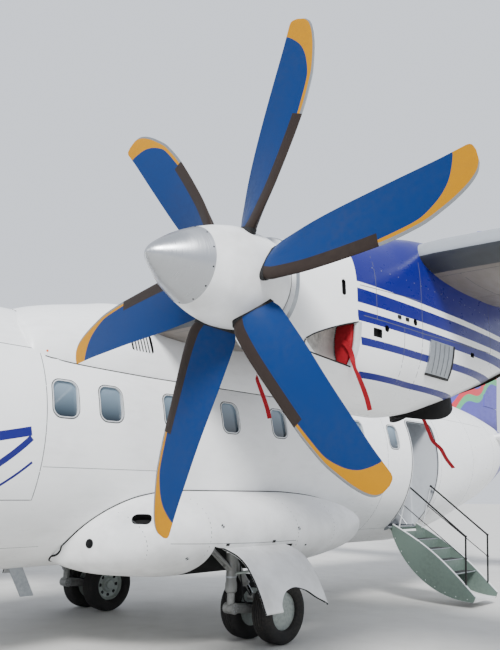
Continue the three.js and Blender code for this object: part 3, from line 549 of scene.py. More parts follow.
MAT = {
    "livery": livery(),
    "white": white_paint(),
    "nacelle": nacelle_paint(),
    "wing": wing_paint(),
    "blade": blade_paint(),
    "fin": fin_paint(),
    "cap": spinner_metal(),
    "bare": plain("metal_bare", "a3a8ad", 0.36, 0.9, grain=30),
    "ramp": plain("metal_ramp", "c4c3bd", 0.45, 0.35, amount=1.0, grain=30, dirt="3a3a38"),
    "chrome": plain("metal_chrome", "d3d6d8", 0.12, 1.0, amount=0.1),
    # Grey enamel with heavy grime, made darker also as painted shade from the gear doors
    "gear": plain("gear_enamel_and_shade", "8b8c8a", 0.42, 0.4, amount=0.6, grain=26, dirt="2c2721"),
    "hub": plain("hub_enamel", "9fa7a2", 0.42, 0.3, amount=0.45, grain=30, dirt="33302a"),
    "primer": plain("bay_primer", "7f8478", 0.6, 0.1, amount=0.6, dirt="2e2c28"),
    # Near black inside the wheel wells: painted shade of the recess
    "well": plain("well_painted_shade", "2b2c2a", 0.7, 0.1, amount=0.6, dirt="121110"),
    "tyre": plain("tyre_rubber", "1b1b1c", 0.82, amount=0.5, grain=40, dirt="57534d", depth=0.6),
    "rubber": plain("seal_rubber", "17181a", 0.7, amount=0.35, dirt="4a4844"),
    "seam": plain("seam_sealant", "5b5e61", 0.6, amount=0.4, grain=60),
    # Near black: painted shade inside openings, holes and the louvre's edge, and the colour of small dark
    # parts
    "dark": plain("dark_opening", "0d0e10", 0.6, amount=0.2),
    "soot": plain("exhaust_soot", "141415", 0.62, 0.4, amount=0.4, dirt="3a3632", shine=0.1),
    "stripe": plain("paint_stripe", "131970", 0.35, amount=0.2),
    "silver": plain("window_frame", "d6d9db", 0.34, 0.3, amount=0.3, grain=50),
    "pane": glass("window_pane", "28323b", "7f93a3", 2.33, 2.69),
    "cockpit": glass("cockpit_pane", "14181d", "2b343d", 2.6, 3.3),
    "lens": plain("lamp_lens", "c9ced2", 0.08, 0.2, amount=0.15),
    "green": plain("stair_enamel", "62726a", 0.5, 0.1, amount=0.55, grain=22, dirt="3a3d38"),
    "tread": plain("stair_tread", "2c2e30", 0.85, amount=0.5, grain=60, depth=0.8),
    "cabin": plain("cabin_trim", "c2c6cb", 0.6, amount=0.3, dirt="5c5f63"),
    "carpet": plain("cabin_floor", "3d4149", 0.9, amount=0.5, grain=50, depth=0.8),
    "red": plain("cover_cloth", "940c1b", 0.75, amount=0.4, grain=40, dirt="3c070c", depth=0.7),
    "orange": plain("mark_orange", "d9631c", 0.5, amount=0.2),
    "brake": plain("brake_metal", "4b3a30", 0.5, 0.6, amount=0.5, grain=34, dirt="191512"),
}


# Pieces
def built(parts, name, *looks, sharp=SHARP):
    return parts.object(name, *[MAT[look] for look in looks], sharp=sharp)


def fixed(obj, *nodes, body="airframe"):
    """Hands a finished piece over to its body and hides the solids that it stands for."""
    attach(obj, body)
    if nodes:
        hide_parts(*nodes)
    return obj


def painted(look, *nodes):
    """Gives solids of the frame that stay visible a look."""
    for name in nodes:
        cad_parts[name].data.materials.clear()
        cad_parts[name].data.materials.append(MAT[look])


# Fuselage. Columns: y, top, bottom, half width, height of the widest point
BODY = [
    (-11.30, 1.960, 1.860, 0.050, 1.910),
    (-11.23, 2.130, 1.650, 0.250, 1.900),
    (-11.05, 2.300, 1.430, 0.450, 1.900),
    (-10.75, 2.460, 1.240, 0.655, 1.900),
    (-10.40, 2.610, 1.100, 0.830, 1.930),
    (-10.00, 2.760, 0.995, 0.985, 1.980),
    (-9.70, 2.960, 0.945, 1.075, 2.030),
    (-9.40, 3.190, 0.905, 1.150, 2.080),
    (-9.05, 3.390, 0.870, 1.225, 2.130),
    (-8.60, 3.500, 0.845, 1.300, 2.170),
    (-7.90, 3.565, 0.825, 1.358, 2.195),
    (-7.10, BODY_Z + BODY_R, BODY_Z - BODY_R, BODY_R, BODY_Z),
    (5.00, BODY_Z + BODY_R, BODY_Z - BODY_R, BODY_R, BODY_Z),
    (6.00, 3.570, 0.990, 1.325, 2.230),
    (7.00, 3.520, 1.230, 1.200, 2.330),
    (8.00, 3.420, 1.480, 1.020, 2.450),
    (9.00, 3.270, 1.800, 0.770, 2.580),
    (9.90, 3.120, 2.150, 0.500, 2.680),
    (10.60, 2.990, 2.480, 0.250, 2.740),
    (10.95, 2.880, 2.650, 0.090, 2.765),
]
WINDOW = {"width": 0.285, "height": 0.37, "radius": 0.09, "z": 2.50, "depth": 0.032}
WINDOWS = {
    1: (-6.45, -5.55, -4.65, -2.44, -1.90, -1.05, -0.15, 0.75, 1.65, 2.55, 3.52),
    -1: tuple(-6.45 + 0.9 * k for k in range(12)),
}
DOORWAY = {"y": (4.025, 4.875), "z": (1.115, 2.805), "radius": 0.09}
CABIN_CUT = {"wall": (0.9, 1.6), "x": (-0.35, 1.08), "headroom": 0.12}
NOSE_BAY = {"half": 0.29, "y": (-8.38, -7.20), "z": 1.35}
UNDER = 0.7  # z below the belly, where cutters start
# Strips round an opening, rubber and then a bright frame. Columns: width, lift, material; a window's
# strips have their size first
WINDOW_TRIM = [(1.055, 0.010, 0.002, 0), (1.0, 0.012, 0.0035, 1)]
DOORWAY_TRIM = [(0.034, 0.006, 0), (0.022, 0.009, 1)]

body_rows = smooth(BODY, 0.12, tip=True)
rings = [oval(y, 0, half, top, bottom, mid) for y, top, bottom, half, mid in body_rows]
body = built(Parts().loft(rings), "fuselage_skin", "livery")
skin = Skin(body)


def inside_body(point):
    x, y, z = point
    top, bottom, half, mid = row_at(BODY, y)
    height = top - mid if z > mid else mid - bottom
    return (x / half) ** 2 + ((z - mid) / height) ** 2 < 1


holes, trim = Parts(), Parts()
window = rounded(WINDOW["width"], WINDOW["height"], WINDOW["radius"])
for sign, places in WINDOWS.items():
    for y in places:
        at, normal = skin.side(sign, y, WINDOW["z"])
        place = looking(at, normal)
        holes.prism(window, place, -WINDOW["depth"], 0.1, 0, 1)
        for share, width, lift, mat in WINDOW_TRIM:
            ring = [place @ Vector((u * share, v * share, 0.2)) for u, v in path(window, 0.03, closed=True)]
            strip(trim, [skin.cast(p, -normal) for p in ring], width, lift, mat=mat, closed=True)
frame_cut, cabin_cut, bay_cut = Parts(), Parts(), Parts()
(y0, y1), (z0, z1) = DOORWAY["y"], DOORWAY["z"]
opening = shifted(rounded(y1 - y0, z1 - z0, DOORWAY["radius"]), (y0 + y1) / 2, (z0 + z1) / 2)
frame_cut.plate(opening, "x", *CABIN_CUT["wall"])
x0, x1 = CABIN_CUT["x"]
cabin_cut.box((x0, y0, z0), (x1, y1, z1 + CABIN_CUT["headroom"]))
half, (front, rear) = NOSE_BAY["half"], NOSE_BAY["y"]
bay_cut.box((-half, front, UNDER), (half, rear, NOSE_BAY["z"]))
carve(
    body,
    built(holes, "cut_windows", "silver", "pane"),
    built(frame_cut, "cut_frame", "cabin"),
    built(cabin_cut, "cut_cabin", "cabin"),
    built(bay_cut, "cut_bay", "primer"),
)
fixed(
    body, "radome", "cockpit_glazing", "fuselage_front", "fuselage_middle", "fuselage_door_bay", "tail_cone"
)

# Cockpit panes: the coordinates of their corners are x, z from ahead or y, z from the side
FRONT_PANE = [(0.035, 2.70), (0.66, 2.64), (0.60, 3.00), (0.035, 3.15)]
SIDE_PANES = [
    [(-9.78, 2.67), (-9.25, 2.69), (-9.25, 3.09), (-9.38, 3.04)],
    [(-9.18, 2.70), (-8.70, 2.72), (-8.74, 2.98), (-9.18, 3.09)],
]
panes, seals = Parts(), Parts()
for sign in (1, -1):
    faces = [(skin.front, FRONT_PANE)] + [(skin.side, corners) for corners in SIDE_PANES]
    for view, corners in faces:
        patch(panes, partial(view, sign), corners)
        line(seals, partial(view, sign), corners, 0.028, 0.007, closed=True)
fixed(built(panes, "cockpit_panes", "cockpit"))
fixed(built(seals, "cockpit_seals", "rubber"))

# Seams, stripes and marks on the skin
CARGO_DOOR = [(-4.05, 1.54), (-2.65, 1.54), (-2.65, 2.98), (-4.05, 2.98)]
SERVICE_DOOR = [(4.10, 1.32), (4.76, 1.32), (4.76, 2.74), (4.10, 2.74)]
ESCAPE_HATCH = [(-7.30, 1.75), (-6.78, 1.75), (-6.78, 2.72), (-7.30, 2.72)]
SEAM_LINES = [
    [(-2.63, 1.843), (-1.25, 1.843)],
    [(-6.9, 1.09), (-2.3, 1.09)],
    [(3.0, 1.09), (4.9, 1.09)],
    [(3.0, 2.95), (7.5, 2.95)],
]
SEAM_RINGS = (-10.75, -8.55, -7.10, -4.60, 3.30, 5.00, 6.40, 7.80, 9.20, 10.30)
# Curved strokes on the nose. Columns: y of its end, lowest z, rise, power of its curve, width
SWEEPS = [(-2.80, 1.72, 0.44, 1.6, 0.085), (-2.79, 1.36, 0.74, 4.5, 0.060), (-2.75, 1.20, 0.68, 4.5, 0.024)]
SWEEP_START = -6.1
seams, stripes = Parts(), Parts()
for sign, outline in ((1, CARGO_DOOR), (1, ESCAPE_HATCH), (-1, SERVICE_DOOR), (-1, ESCAPE_HATCH)):
    line(seams, partial(skin.side, sign), outline, 0.008, closed=True)
for sign in (1, -1):
    for points in SEAM_LINES:
        line(seams, partial(skin.side, sign), points, step=0.1)
    for end, low, rise, power, width in SWEEPS:
        ts = np.linspace(0, 1, 60)
        sweep = [(SWEEP_START + (end - SWEEP_START) * t, low + rise * t**power) for t in ts]
        strip(stripes, [skin.side(sign, *p) for p in sweep], width, 0.0008)
for y in SEAM_RINGS:
    top, bottom, half, mid = row_at(body_rows, y)
    ring = oval(y, 0, half + 0.5, top + 0.5, bottom - 0.5, mid, n=160)
    centre = Vector((0, y, mid))
    strip(seams, [skin.cast(Vector(p), centre - Vector(p)) for p in ring], closed=True)
# The doorway's edge without its sill
corner = len(opening) * 3 // 4
jambs = [p for p in opening[corner:] + opening[:corner] if p[1] > DOORWAY["z"][0] + 0.07]
for width, lift, mat in DOORWAY_TRIM:
    line(trim, partial(skin.side, 1), jambs, width, lift, mat)
fixed(built(seams, "fuselage_seams", "seam"))
fixed(built(stripes, "flank_stripes", "stripe"))
fixed(built(trim, "window_seals", "rubber", "silver"))

# The cover over the wing's middle. Columns: y, top, half width
COVER = [
    (-2.76, 3.45, 1.140),
    (-2.60, 3.53, 1.180),
    (-2.30, 3.65, 1.200),
    (-1.70, 3.795, 1.215),
    (-1.15, 3.90, 1.222),
    (1.20, 3.89, 1.222),
    (1.90, 3.79, 1.215),
    (2.60, 3.65, 1.200),
    (3.25, 3.48, 1.160),
]
COVER_BOTTOM, COVER_MID, COVER_POWER = 2.60, 2.89, 2.15
GRILLE = {"y": (-1.54, -1.24), "z": (3.13, 3.37), "slats": 7}
rings = [oval(y, 0, half, top, COVER_BOTTOM, COVER_MID, COVER_POWER) for y, top, half in smooth(COVER, 0.1)]
cover = built(Parts().loft(rings), "wing_cover", "livery")
cover_skin = Skin(cover)
(y0, y1), (z0, z1) = GRILLE["y"], GRILLE["z"]
vent, slats, marks, edge = Parts(), Parts(), Parts(), Parts()
for sign in (1, -1):
    spot = cover_skin.side(sign, (y0 + y1) / 2, (z0 + z1) / 2)
    stamp(vent, spot, rounded(y1 - y0, z1 - z0, 0.03), -0.045, 0.1)
    for k in range(1, GRILLE["slats"]):
        middle = (y1 - y0) * (k / GRILLE["slats"] - 1 / 2)
        stamp(slats, spot, shifted(rounded(0.016, z1 - z0 + 0.02, 0.005), middle, 0), -0.016, -0.004)
    stamp(marks, cover_skin.side(sign, -2.58, 2.97), disc(0.012), *MARK)
carve(cover, built(vent, "cut_vent", "dark"))
for points in seam_across([ring for ring in rings if ring[0][1] > -2.61], inside_body):
    edge.tube(points, 0.006, n=6)
fixed(cover, "wing_body_cover")
fixed(built(slats, "cover_slats", "white"))
fixed(built(edge, "cover_edge", "rubber"))
fixed(built(marks, "cover_marks", "orange"))

# Sponsons. Columns: y, centre x, half width, top, bottom, height of the widest point
SPONSON = [
    (-2.030, 0.630, 0.180, 1.170, 0.975, 1.080),
    (-1.985, 0.700, 0.365, 1.255, 0.905, 1.100),
    (-1.895, 0.790, 0.560, 1.350, 0.858, 1.130),
    (-1.700, 0.870, 0.770, 1.480, 0.800, 1.165),
    (-1.400, 0.945, 0.900, 1.590, 0.762, 1.190),
    (-1.050, 1.000, 0.945, 1.640, 0.735, 1.208),
    (-0.800, 1.015, 0.960, 1.650, 0.732, 1.210),
    (0.700, 1.015, 0.960, 1.650, 0.732, 1.210),
    (1.250, 1.000, 0.915, 1.625, 0.775, 1.230),
    (1.800, 0.960, 0.800, 1.560, 0.830, 1.250),
    (2.250, 0.890, 0.640, 1.450, 0.880, 1.250),
    (2.560, 0.800, 0.430, 1.340, 0.950, 1.240),
    (2.780, 0.720, 0.220, 1.290, 1.050, 1.220),
]
WELL = {"x": (1.18, 1.93), "y": (-0.95, 0.30), "z": 1.33}
LAMP, INLET = (-1.955, 1.121), (-1.635, 1.364)
# The lamp's lens and its rim. Columns: distance out of the skin, radius
LENS = [(0, 0.034), (0.012, 0.030), (0.018, 0.016), (0.019, 0.002)]
LENS_RIM = [(0, 0.046), (0.004, 0.046), (0.004, 0.037), (0, 0.037)]
SPONSON_SEAMS = [
    [(-1.02, 1.60), (-1.02, 1.00)],
    [(0.30, 1.60), (0.38, 1.00)],
    [(-1.45, 1.13), (-0.30, 1.10), (0.34, 1.10)],
    [(1.10, 1.60), (1.10, 1.00)],
    [(-1.72, 1.42), (-1.60, 0.98)],
]
# Small plates. Columns: y, z, width, height
SPONSON_PLATES = [(-0.78, 1.101, 0.05, 0.03), (-0.05, 1.105, 0.05, 0.03), (0.56, 1.04, 0.03, 0.02)]
JACKING_MARKS = [(-0.87, 1.288), (0.37, 1.232), (-1.20, 0.975)]
sponson_rings = [oval(*row, 2.2, 2.0) for row in smooth(SPONSON, 0.06)]


def sponson_edge():
    """Lines where the sponson meets the fuselage: along it, and round its nose."""
    nose = sponson_rings[0]
    free = [not inside_body(p) for p in nose]
    first = next(i for i in range(len(free)) if free[i] and not free[i - 1])
    round_nose = [nose[i] for i in range(first - len(free), first) if free[i]]
    return seam_across(sponson_rings, inside_body) + [round_nose]


def sponson_pieces(side, sign):
    well, lines, mouths, lamp, gasket = Parts(sign), Parts(), Parts(), Parts(), Parts()
    shell = built(Parts(sign).loft(sponson_rings), f"sponson_shell_{side}", "white")
    hit = partial(Skin(shell).side, sign)
    (x0, x1), (y0, y1) = WELL["x"], WELL["y"]
    well.box((x0, y0, UNDER), (x1, y1, WELL["z"]))
    stamp(mouths, hit(*INLET), rounded(0.20, 0.13, 0.055), -0.09, 0.06)
    stamp(mouths, hit(*LAMP), disc(0.040), -0.03, 0.05)
    at, normal = hit(*LAMP)
    lamp.turn(LENS, at - normal * 0.028, normal, 0)
    lamp.turn(LENS_RIM, at - normal * 0.002, normal, 1)
    for points in SPONSON_SEAMS:
        line(lines, hit, points, step=0.05)
    for y, z, w, h in SPONSON_PLATES:
        stamp(lines, hit(y, z), rounded(w, h, 0.004), -0.01, 0.002, 1)
    for y, z in JACKING_MARKS:
        for k in range(4):
            arc = np.linspace(0, np.pi / 2, 6) + k * np.pi / 2
            wedge = [(0, 0)] + [(0.022 * math.cos(a), 0.022 * math.sin(a)) for a in arc]
            stamp(lines, hit(y, z), wedge, *MARK, 1 if k % 2 else 2)
    for points in sponson_edge():
        gasket.tube([(sign * x, y, z) for x, y, z in points], 0.011, n=6)
    carve(shell, built(well, "cut_well", "well"), built(mouths, "cut_mouths", "dark"))
    fixed(shell, f"sponson_{side}")
    fixed(built(lines, f"sponson_marks_{side}", "seam", "dark", "silver"))
    fixed(built(gasket, f"sponson_edge_{side}", "rubber"))
    fixed(built(lamp, f"sponson_lamp_{side}", "lens", "rubber"))


for side, sign in SIDES:
    sponson_pieces(side, sign)

# Wing and tail surfaces. Columns of FOIL: share of the chord, shares of the thickness above and below it
FOIL = [
    (0, 0, 0),
    (0.012, 0.19, 0.14),
    (0.05, 0.36, 0.25),
    (0.13, 0.52, 0.36),
    (0.28, 0.62, 0.42),
    (0.48, 0.57, 0.38),
    (0.72, 0.34, 0.20),
    (1, 0.02, 0.02),
]
# Columns: span, leading edge y, trailing edge y, height, thickness
WING = [
    (0.0, -1.30, 1.25, 3.525, 0.400),
    (4.70, -1.30, 1.25, 3.525, 0.400),
    (12.45, -0.79, 0.40, 3.330, 0.165),
]
WING_TIP = [
    (12.60, -0.72, 0.37, 3.326, 0.130),
    (12.70, -0.63, 0.345, 3.323, 0.100),
    (SEMI_SPAN, -0.50, 0.32, 3.322, 0.04),
]
TAILPLANE = [
    (0.56, 8.25, 10.25, 2.800, 0.215),
    (4.50, 8.95, 10.08, 3.080, 0.115),
    (4.59, 9.02, 10.07, 3.086, 0.09),
]
TAILPLANE_TIP = [(4.65, 9.14, 10.06, 3.09, 0.04)]
FIN = [
    (3.13, 7.30, 10.48, 0, 0.330),
    (3.60, 7.90, 10.52, 0, 0.310),
    (7.95, 9.96, 11.255, 0, 0.150),
    (8.15, 10.14, 11.29, 0, 0.110),
    (HEIGHT, 10.36, 11.30, 0, 0.05),
]
DORSAL = [
    (3.30, 5.75, 8.70, 0, 0.260),
    (3.60, 6.25, 8.70, 0, 0.240),
    (3.85, 7.10, 8.70, 0, 0.200),
    (4.15, 8.00, 8.70, 0, 0.120),
]
# What moves: the share of the chord where it begins, and its span
CUTS = {"flap_inner": (0.74, 1.33, 3.48), "flap_outer": (0.74, 4.72, 8.84), "aileron": (0.76, 8.96, 12.30)}
ELEVATOR, RUDDER = (0.70, 0.70, 4.42), (0.66, 3.65, 7.88)
CLEAR = 0.012
WING_RIBS = (2.2, 3.4, 4.8, 6.0, 7.3, 8.6, 9.9, 11.2, 12.3)
WING_SPARS, SPAR_SPAN = (0.10, 0.38, 0.60), (1.3, 12.3)
ORANGE_SPOT, DARK_SPOT = (2.9, -0.75), (3.15, -0.2)
FUEL_PANELS = [(5.4, -0.35), (6.6, -0.3), (7.9, -0.25), (9.2, -0.2)]
section = smooth([(math.sqrt(share), up, down) for share, up, down in FOIL], 0.04)


def placed(points, span, height, upright):
    """A section's points, as y and distance up, at their station on a wing or on an upright fin."""
    return [(height + h, y, span) if upright else (span, y, height + h) for y, h in points]


def foil(row, even=False, upright=False):
    """A ring of a wing, or an even one with as much above its middle as below."""
    span, le, te, height, thick = row
    upper, lower = [], []
    for root, up, down in section:
        if even:
            up = down = (up + down) / 2
        upper.append((le + root**2 * (te - le), up * thick))
        lower.append((le + root**2 * (te - le), -down * thick))
    return placed(upper + lower[:0:-1], span, height, upright)


def bay(rows, share, s0, s1, upright=False):
    """The room for a moving surface, as a cutter's outline at both of its ends."""
    out = []
    for span in (s0 - CLEAR, s1 + CLEAR):
        le, te, height, thick = row_at(rows, span)
        front = le + share * (te - le) - sum(row_at(FOIL, share)) / 2 * thick - CLEAR
        corners = [(front, -0.6), (te + 0.4, -0.6), (te + 0.4, 0.6), (front, 0.6)]
        out.append(placed(corners, span, height, upright))
    return out


def filled(rows, step):
    """Rows along straight lines between stations."""
    out = []
    for a, b in zip(rows, rows[1:]):
        count = max(1, math.ceil((b[0] - a[0]) / step))
        out += [tuple(np.array(a) + (np.array(b) - np.array(a)) * k / count) for k in range(count)]
    return out + [rows[-1]]


def lifting(name, look, sign, rings, rooms, *nodes):
    """A wing, tailplane or fin with room for what moves on it. Gives the skin from before the cut."""
    room = Parts(sign)
    for outlines in rooms:
        room.loft(outlines)
    obj = built(Parts(sign).loft(rings), name, look, sharp=40)
    surface = Skin(obj)
    carve(obj, built(room, "cut_room", "primer"))
    fixed(obj, *nodes)
    return surface


def wing_pieces(side, sign):
    rings = [foil(row) for row in filled(WING, 0.5) + WING_TIP]
    rooms = [bay(WING, *cut) for cut in CUTS.values()]
    surface = lifting(f"wing_skin_{side}", "wing", sign, rings, rooms, f"wing_{side}")
    lines = Parts()
    for hit in (surface.over, surface.under):
        for x in WING_RIBS:
            le, te = row_at(WING, x)[:2]
            strip(lines, [hit(sign * x, y) for y in np.linspace(le + 0.03, le + 0.7 * (te - le), 16)])
        for share in WING_SPARS:
            spots = []
            for x in np.linspace(*SPAR_SPAN, 30):
                le, te = row_at(WING, x)[:2]
                spots.append(hit(sign * x, le + share * (te - le)))
            strip(lines, spots)
    for x, y in FUEL_PANELS:
        at, normal = surface.under(sign * x, y)
        place = looking(at - normal * 0.02, normal)
        ring = [place @ Vector((0.15 * u, 0.09 * v, 0)) for u, v in disc(1, 28)]
        strip(lines, [surface.nearest(p) for p in ring], closed=True)
    for (x, y), size, mat in ((ORANGE_SPOT, (0.035, 0.035), 1), (DARK_SPOT, (0.09, 0.05), 2)):
        spot = [(size[0] * u, size[1] * v) for u, v in disc(1)]
        stamp(lines, surface.under(sign * x, y), spot, *MARK, mat)
    fixed(built(lines, f"wing_seams_{side}", "seam", "orange", "dark"))
    painted("wing", *[f"{name}_{side}" for name in CUTS])


for side, sign in SIDES:
    wing_pieces(side, sign)
    rings = [foil(row, even=True) for row in filled(TAILPLANE, 0.5) + TAILPLANE_TIP]
    lifting(f"tailplane_skin_{side}", "white", sign, rings, [bay(TAILPLANE, *ELEVATOR)], f"tailplane_{side}")
    painted("white", f"elevator_{side}", f"nose_gear_door_{side}")
rings = [foil(row, even=True, upright=True) for row in filled(FIN[:3], 0.4) + FIN[3:]]
lifting("fin_skin", "fin", 1, rings, [bay(FIN, *RUDDER, upright=True)], "fin")
fillet = Parts().loft([foil(row, even=True, upright=True) for row in smooth(DORSAL, 0.1)])
fixed(built(fillet, "fin_fillet", "fin", sharp=40))
painted("fin", "rudder")

# Nacelles. Columns: y, half width, top, bottom, height of the widest point, power above and below it
NACELLE = [
    (-2.745, 0.352, 3.382, 2.678, 3.030, 2.15, 2.15),
    (-2.60, 0.400, 3.405, 2.590, 3.010, 2.3, 2.6),
    (-2.35, 0.455, 3.440, 2.440, 2.960, 2.8, 3.2),
    (-2.10, 0.485, 3.500, 2.325, 2.920, 3.3, 3.2),
    (-1.70, 0.502, 3.600, 2.250, 2.900, 4.0, 2.6),
    (-1.30, 0.508, 3.715, 2.235, 2.920, 5.0, 2.15),
    (-0.80, 0.505, 3.790, 2.320, 2.950, 5.0, 2.3),
    (-0.25, 0.485, 3.800, 2.490, 3.000, 5.0, 2.6),
    (0.35, 0.440, 3.770, 2.650, 3.100, 4.0, 2.6),
    (0.90, 0.360, 3.700, 2.820, 3.220, 3.5, 2.5),
    (1.40, 0.245, 3.600, 3.040, 3.320, 3.0, 2.3),
    (1.75, 0.120, 3.500, 3.260, 3.375, 2.5, 2.15),
]
INTAKE = {"apex": (-2.57, 2.65), "mouth": -2.20, "below": 0.155, "above": 0.150, "depth": 0.19, "rim": 0.032}
EXHAUST = {"x": 0.03, "y": -0.57, "z": 2.375, "half_x": 0.23, "half_y": 0.39, "wall": 0.016}
EXHAUST |= {"tilt": 0.115, "sag": 0.095, "lean": -0.10, "rise": 0.30}
nacelle_rows = smooth(NACELLE, 0.06)


def nacelle_x(y, z):
    """The half width of the nacelle at y and z."""
    half, top, bottom, mid, power, low = row_at(nacelle_rows, y)
    share, power = ((z - mid) / (top - mid), power) if z > mid else ((mid - z) / (mid - bottom), low)
    return half * (1 - share**power) ** (1 / power)


def ramp_edge(t, n=11):
    """The rounded inner end of the ramp's section, from its top down. t: 0 at the apex, 1 at the mouth."""
    (ay, az), my = INTAKE["apex"], INTAKE["mouth"]
    start, floor = nacelle_x(ay, az) - 0.003, nacelle_x(my, az) - INTAKE["depth"]
    low = az - 0.003 - INTAKE["below"] * t**0.45
    high = az + 0.003 + INTAKE["above"] * t**0.65
    inner = start + (floor - start) * (0.35 * t + 0.65 * t * t)
    bow = 0.028 * t
    return [(inner + bow * (2 * v - 1) ** 2, low + (high - low) * v) for v in np.linspace(1, 0, n)]


def intake_room(sign):
    """The ramp of the intake on one cheek."""
    ay, my = INTAKE["apex"][0], INTAKE["mouth"]
    layers = []
    for t in np.linspace(0, 1, 15):
        edge = ramp_edge(t)
        points = [(0.9, edge[-1][1]), (0.9, edge[0][1])] + edge
        layers.append([(px, ay + (my - ay) * t, pz) for px, pz in points])
    return Parts(sign).loft(layers)


def exhaust_ring(grow, t):
    """A ring along the exhaust, wider than its bore by grow. t: 0 at the mouth, 1 inside."""
    a = np.linspace(0, 2 * np.pi, 48, endpoint=False)
    y = EXHAUST["y"] + EXHAUST["lean"] * t + (EXHAUST["half_y"] + grow) * np.sin(a)
    z = EXHAUST["z"] + EXHAUST["rise"] * t + EXHAUST["tilt"] * np.sin(a)
    z -= EXHAUST["sag"] * (1 - t) * np.cos(a) ** 2
    return np.stack([EXHAUST["x"] + (EXHAUST["half_x"] + grow) * np.cos(a), y, z], axis=1)


# Panel lines. Columns: y, z
PANELS = [
    [(-2.17, 3.08), (-1.35, 3.12), (-1.35, 3.45)],
    [(-2.14, 2.86), (-1.30, 2.86), (-0.03, 2.90)],
    [(-0.03, 2.75), (-0.03, 3.60)],
    [(-1.35, 2.42), (-1.35, 3.12)],
    [(-1.98, 2.86), (-1.98, 3.40)],
    [(-1.62, 2.45), (-1.62, 2.86)],
]
LOUVRE = {"y": (-1.24, -0.86), "z": (2.57, 2.83), "slats": 5}
# Small openings. Columns: y, z, width, height, corner radius
PORTS = [
    (-1.975, 2.76, 0.105, 0.065, 0.008),
    (-1.86, 2.81, 0.055, 0.050, 0.024),
    (-0.45, 2.82, 0.07, 0.04, 0.01),
    (-2.34, 3.03, 0.040, 0.115, 0.019),
    (-1.46, 2.93, 0.056, 0.056, 0.028),
]
# The section of the lip behind an intake. Columns: distance out of the cheek, distance behind the mouth
LIP = [(-0.036, 0.006), (-0.030, -0.012), (-0.016, -0.019), (-0.004, -0.014), (0.003, 0.0), (0.005, 0.020)]
LIP += [(0.004, 0.042), (-0.02, 0.042)]
FRONT_BAND_Y = -2.728  # the bare ring round the nacelle's front rim
LATCHES = [(-1.69, 2.93), (-1.58, 2.93)]
RIVET_ROWS, RIVET_PITCH = (2.70, 3.25), 0.11


def louvre(parts, hit):
    """Slats over an opening, with a shaded edge below and behind."""
    (y0, y1), (z0, z1) = LOUVRE["y"], LOUVRE["z"]
    patch(parts, hit, [(y0, z0), (y1, z0), (y1, z1), (y0, z1)], 0.014, mat=1)
    line(parts, hit, [(y0, z0 - 0.008), (y1 + 0.010, z0 - 0.008), (y1 + 0.014, z1)], 0.022, 0.0165, 2, 0.03)
    heights = np.linspace(z0 + 0.01, z1 - 0.01, 10)
    for k in range(1, LOUVRE["slats"]):
        for behind, width, lift, mat in ((0, 0.004, 0.0150, 0), (0.016, 0.024, 0.0165, 1)):
            y = y0 + (y1 - y0) * k / LOUVRE["slats"] + behind
            strip(parts, [hit(y, z) for z in heights], width, lift, mat=mat)


def intake_lip(parts, hit, sign):
    """The lip behind an intake, and dark strips along its ramp's upper and lower edges; the upper one is a
    painted shadow of the gap there.
    """
    (ay, _), my = INTAKE["apex"], INTAKE["mouth"]
    edge = ramp_edge(1)
    layers = []
    for z in np.linspace(edge[-1][1] - 0.004, edge[0][1] + 0.004, 12):
        wall = nacelle_x(my, z)
        layers.append([(sign * (wall + dx), my + dy, z) for dx, dy in LIP])
    parts.loft(layers)
    # Dark rubber strips along the ramp's edges; the upper one is a painted shadow of the gap above the ramp
    for end in (0, -1):
        spots = [hit(ay + (my - ay) * t, ramp_edge(t)[end][1]) for t in np.linspace(0, 1, 16)]
        strip(parts, spots, 0.009, 0.003, mat=1)


def nacelle_pieces(side, x):
    small, details, lips = Parts(), Parts(), Parts()
    rings = [oval(y, 0, *rest) for y, *rest in nacelle_rows]
    shell = built(Parts().loft(rings), f"nacelle_shell_{side}", "nacelle")
    surface = Skin(shell)
    duct = Parts().loft([exhaust_ring(0, -0.6), exhaust_ring(0, 1)])
    for sign in (1, -1):
        hit = partial(surface.side, sign)
        for y, z, w, h, corner in PORTS:
            stamp(small, hit(y, z), rounded(w, h, corner), -0.03, 0.05)
        rim = shifted(rounded(0.060, 0.135, 0.028), -2.34, 3.03)
        line(details, hit, rim, 0.012, 0.002, 3, 0.03, closed=True)
        for points in PANELS:
            line(details, hit, points, step=0.06)
        louvre(details, hit)
        for spot in LATCHES:
            stamp(details, hit(*spot), rounded(0.045, 0.028, 0.008), -0.005, 0.006, 2)
        for z in RIVET_ROWS:
            for y in np.arange(-2.0, -0.1, RIVET_PITCH):
                stamp(details, hit(y, z), disc(0.005, 8), *MARK, 1)
        intake_lip(lips, hit, sign)
    ring = [surface.nearest(p) for p in oval(FRONT_BAND_Y, 0, *row_at(nacelle_rows, FRONT_BAND_Y))]
    strip(details, ring, 0.028, 0.0008, closed=True, mat=1)
    cutters = [(intake_room(1), "ramp"), (intake_room(-1), "ramp"), (duct, "soot"), (small, "dark")]
    carve(shell, *[built(parts, "cut_nacelle", look) for parts, look in cutters])
    wall = EXHAUST["wall"]
    rings = [exhaust_ring(grow, t) for grow, t in ((-0.001, 1), (-0.001, 0), (-wall, 0), (-wall, 0.6))]
    pieces = [
        shell,
        built(details, f"nacelle_details_{side}", "seam", "bare", "dark", "white"),
        built(lips, f"intake_lips_{side}", "silver", "rubber"),
        built(Parts().loft(rings), f"exhaust_pipe_{side}", "soot"),
    ]
    for piece in pieces:
        piece.location.x = x
        fixed(piece)
    bpy.context.view_layer.update()
    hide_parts(f"nacelle_{side}")
    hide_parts(f"exhaust_{side}")
    painted("gear", f"engine_{side}")


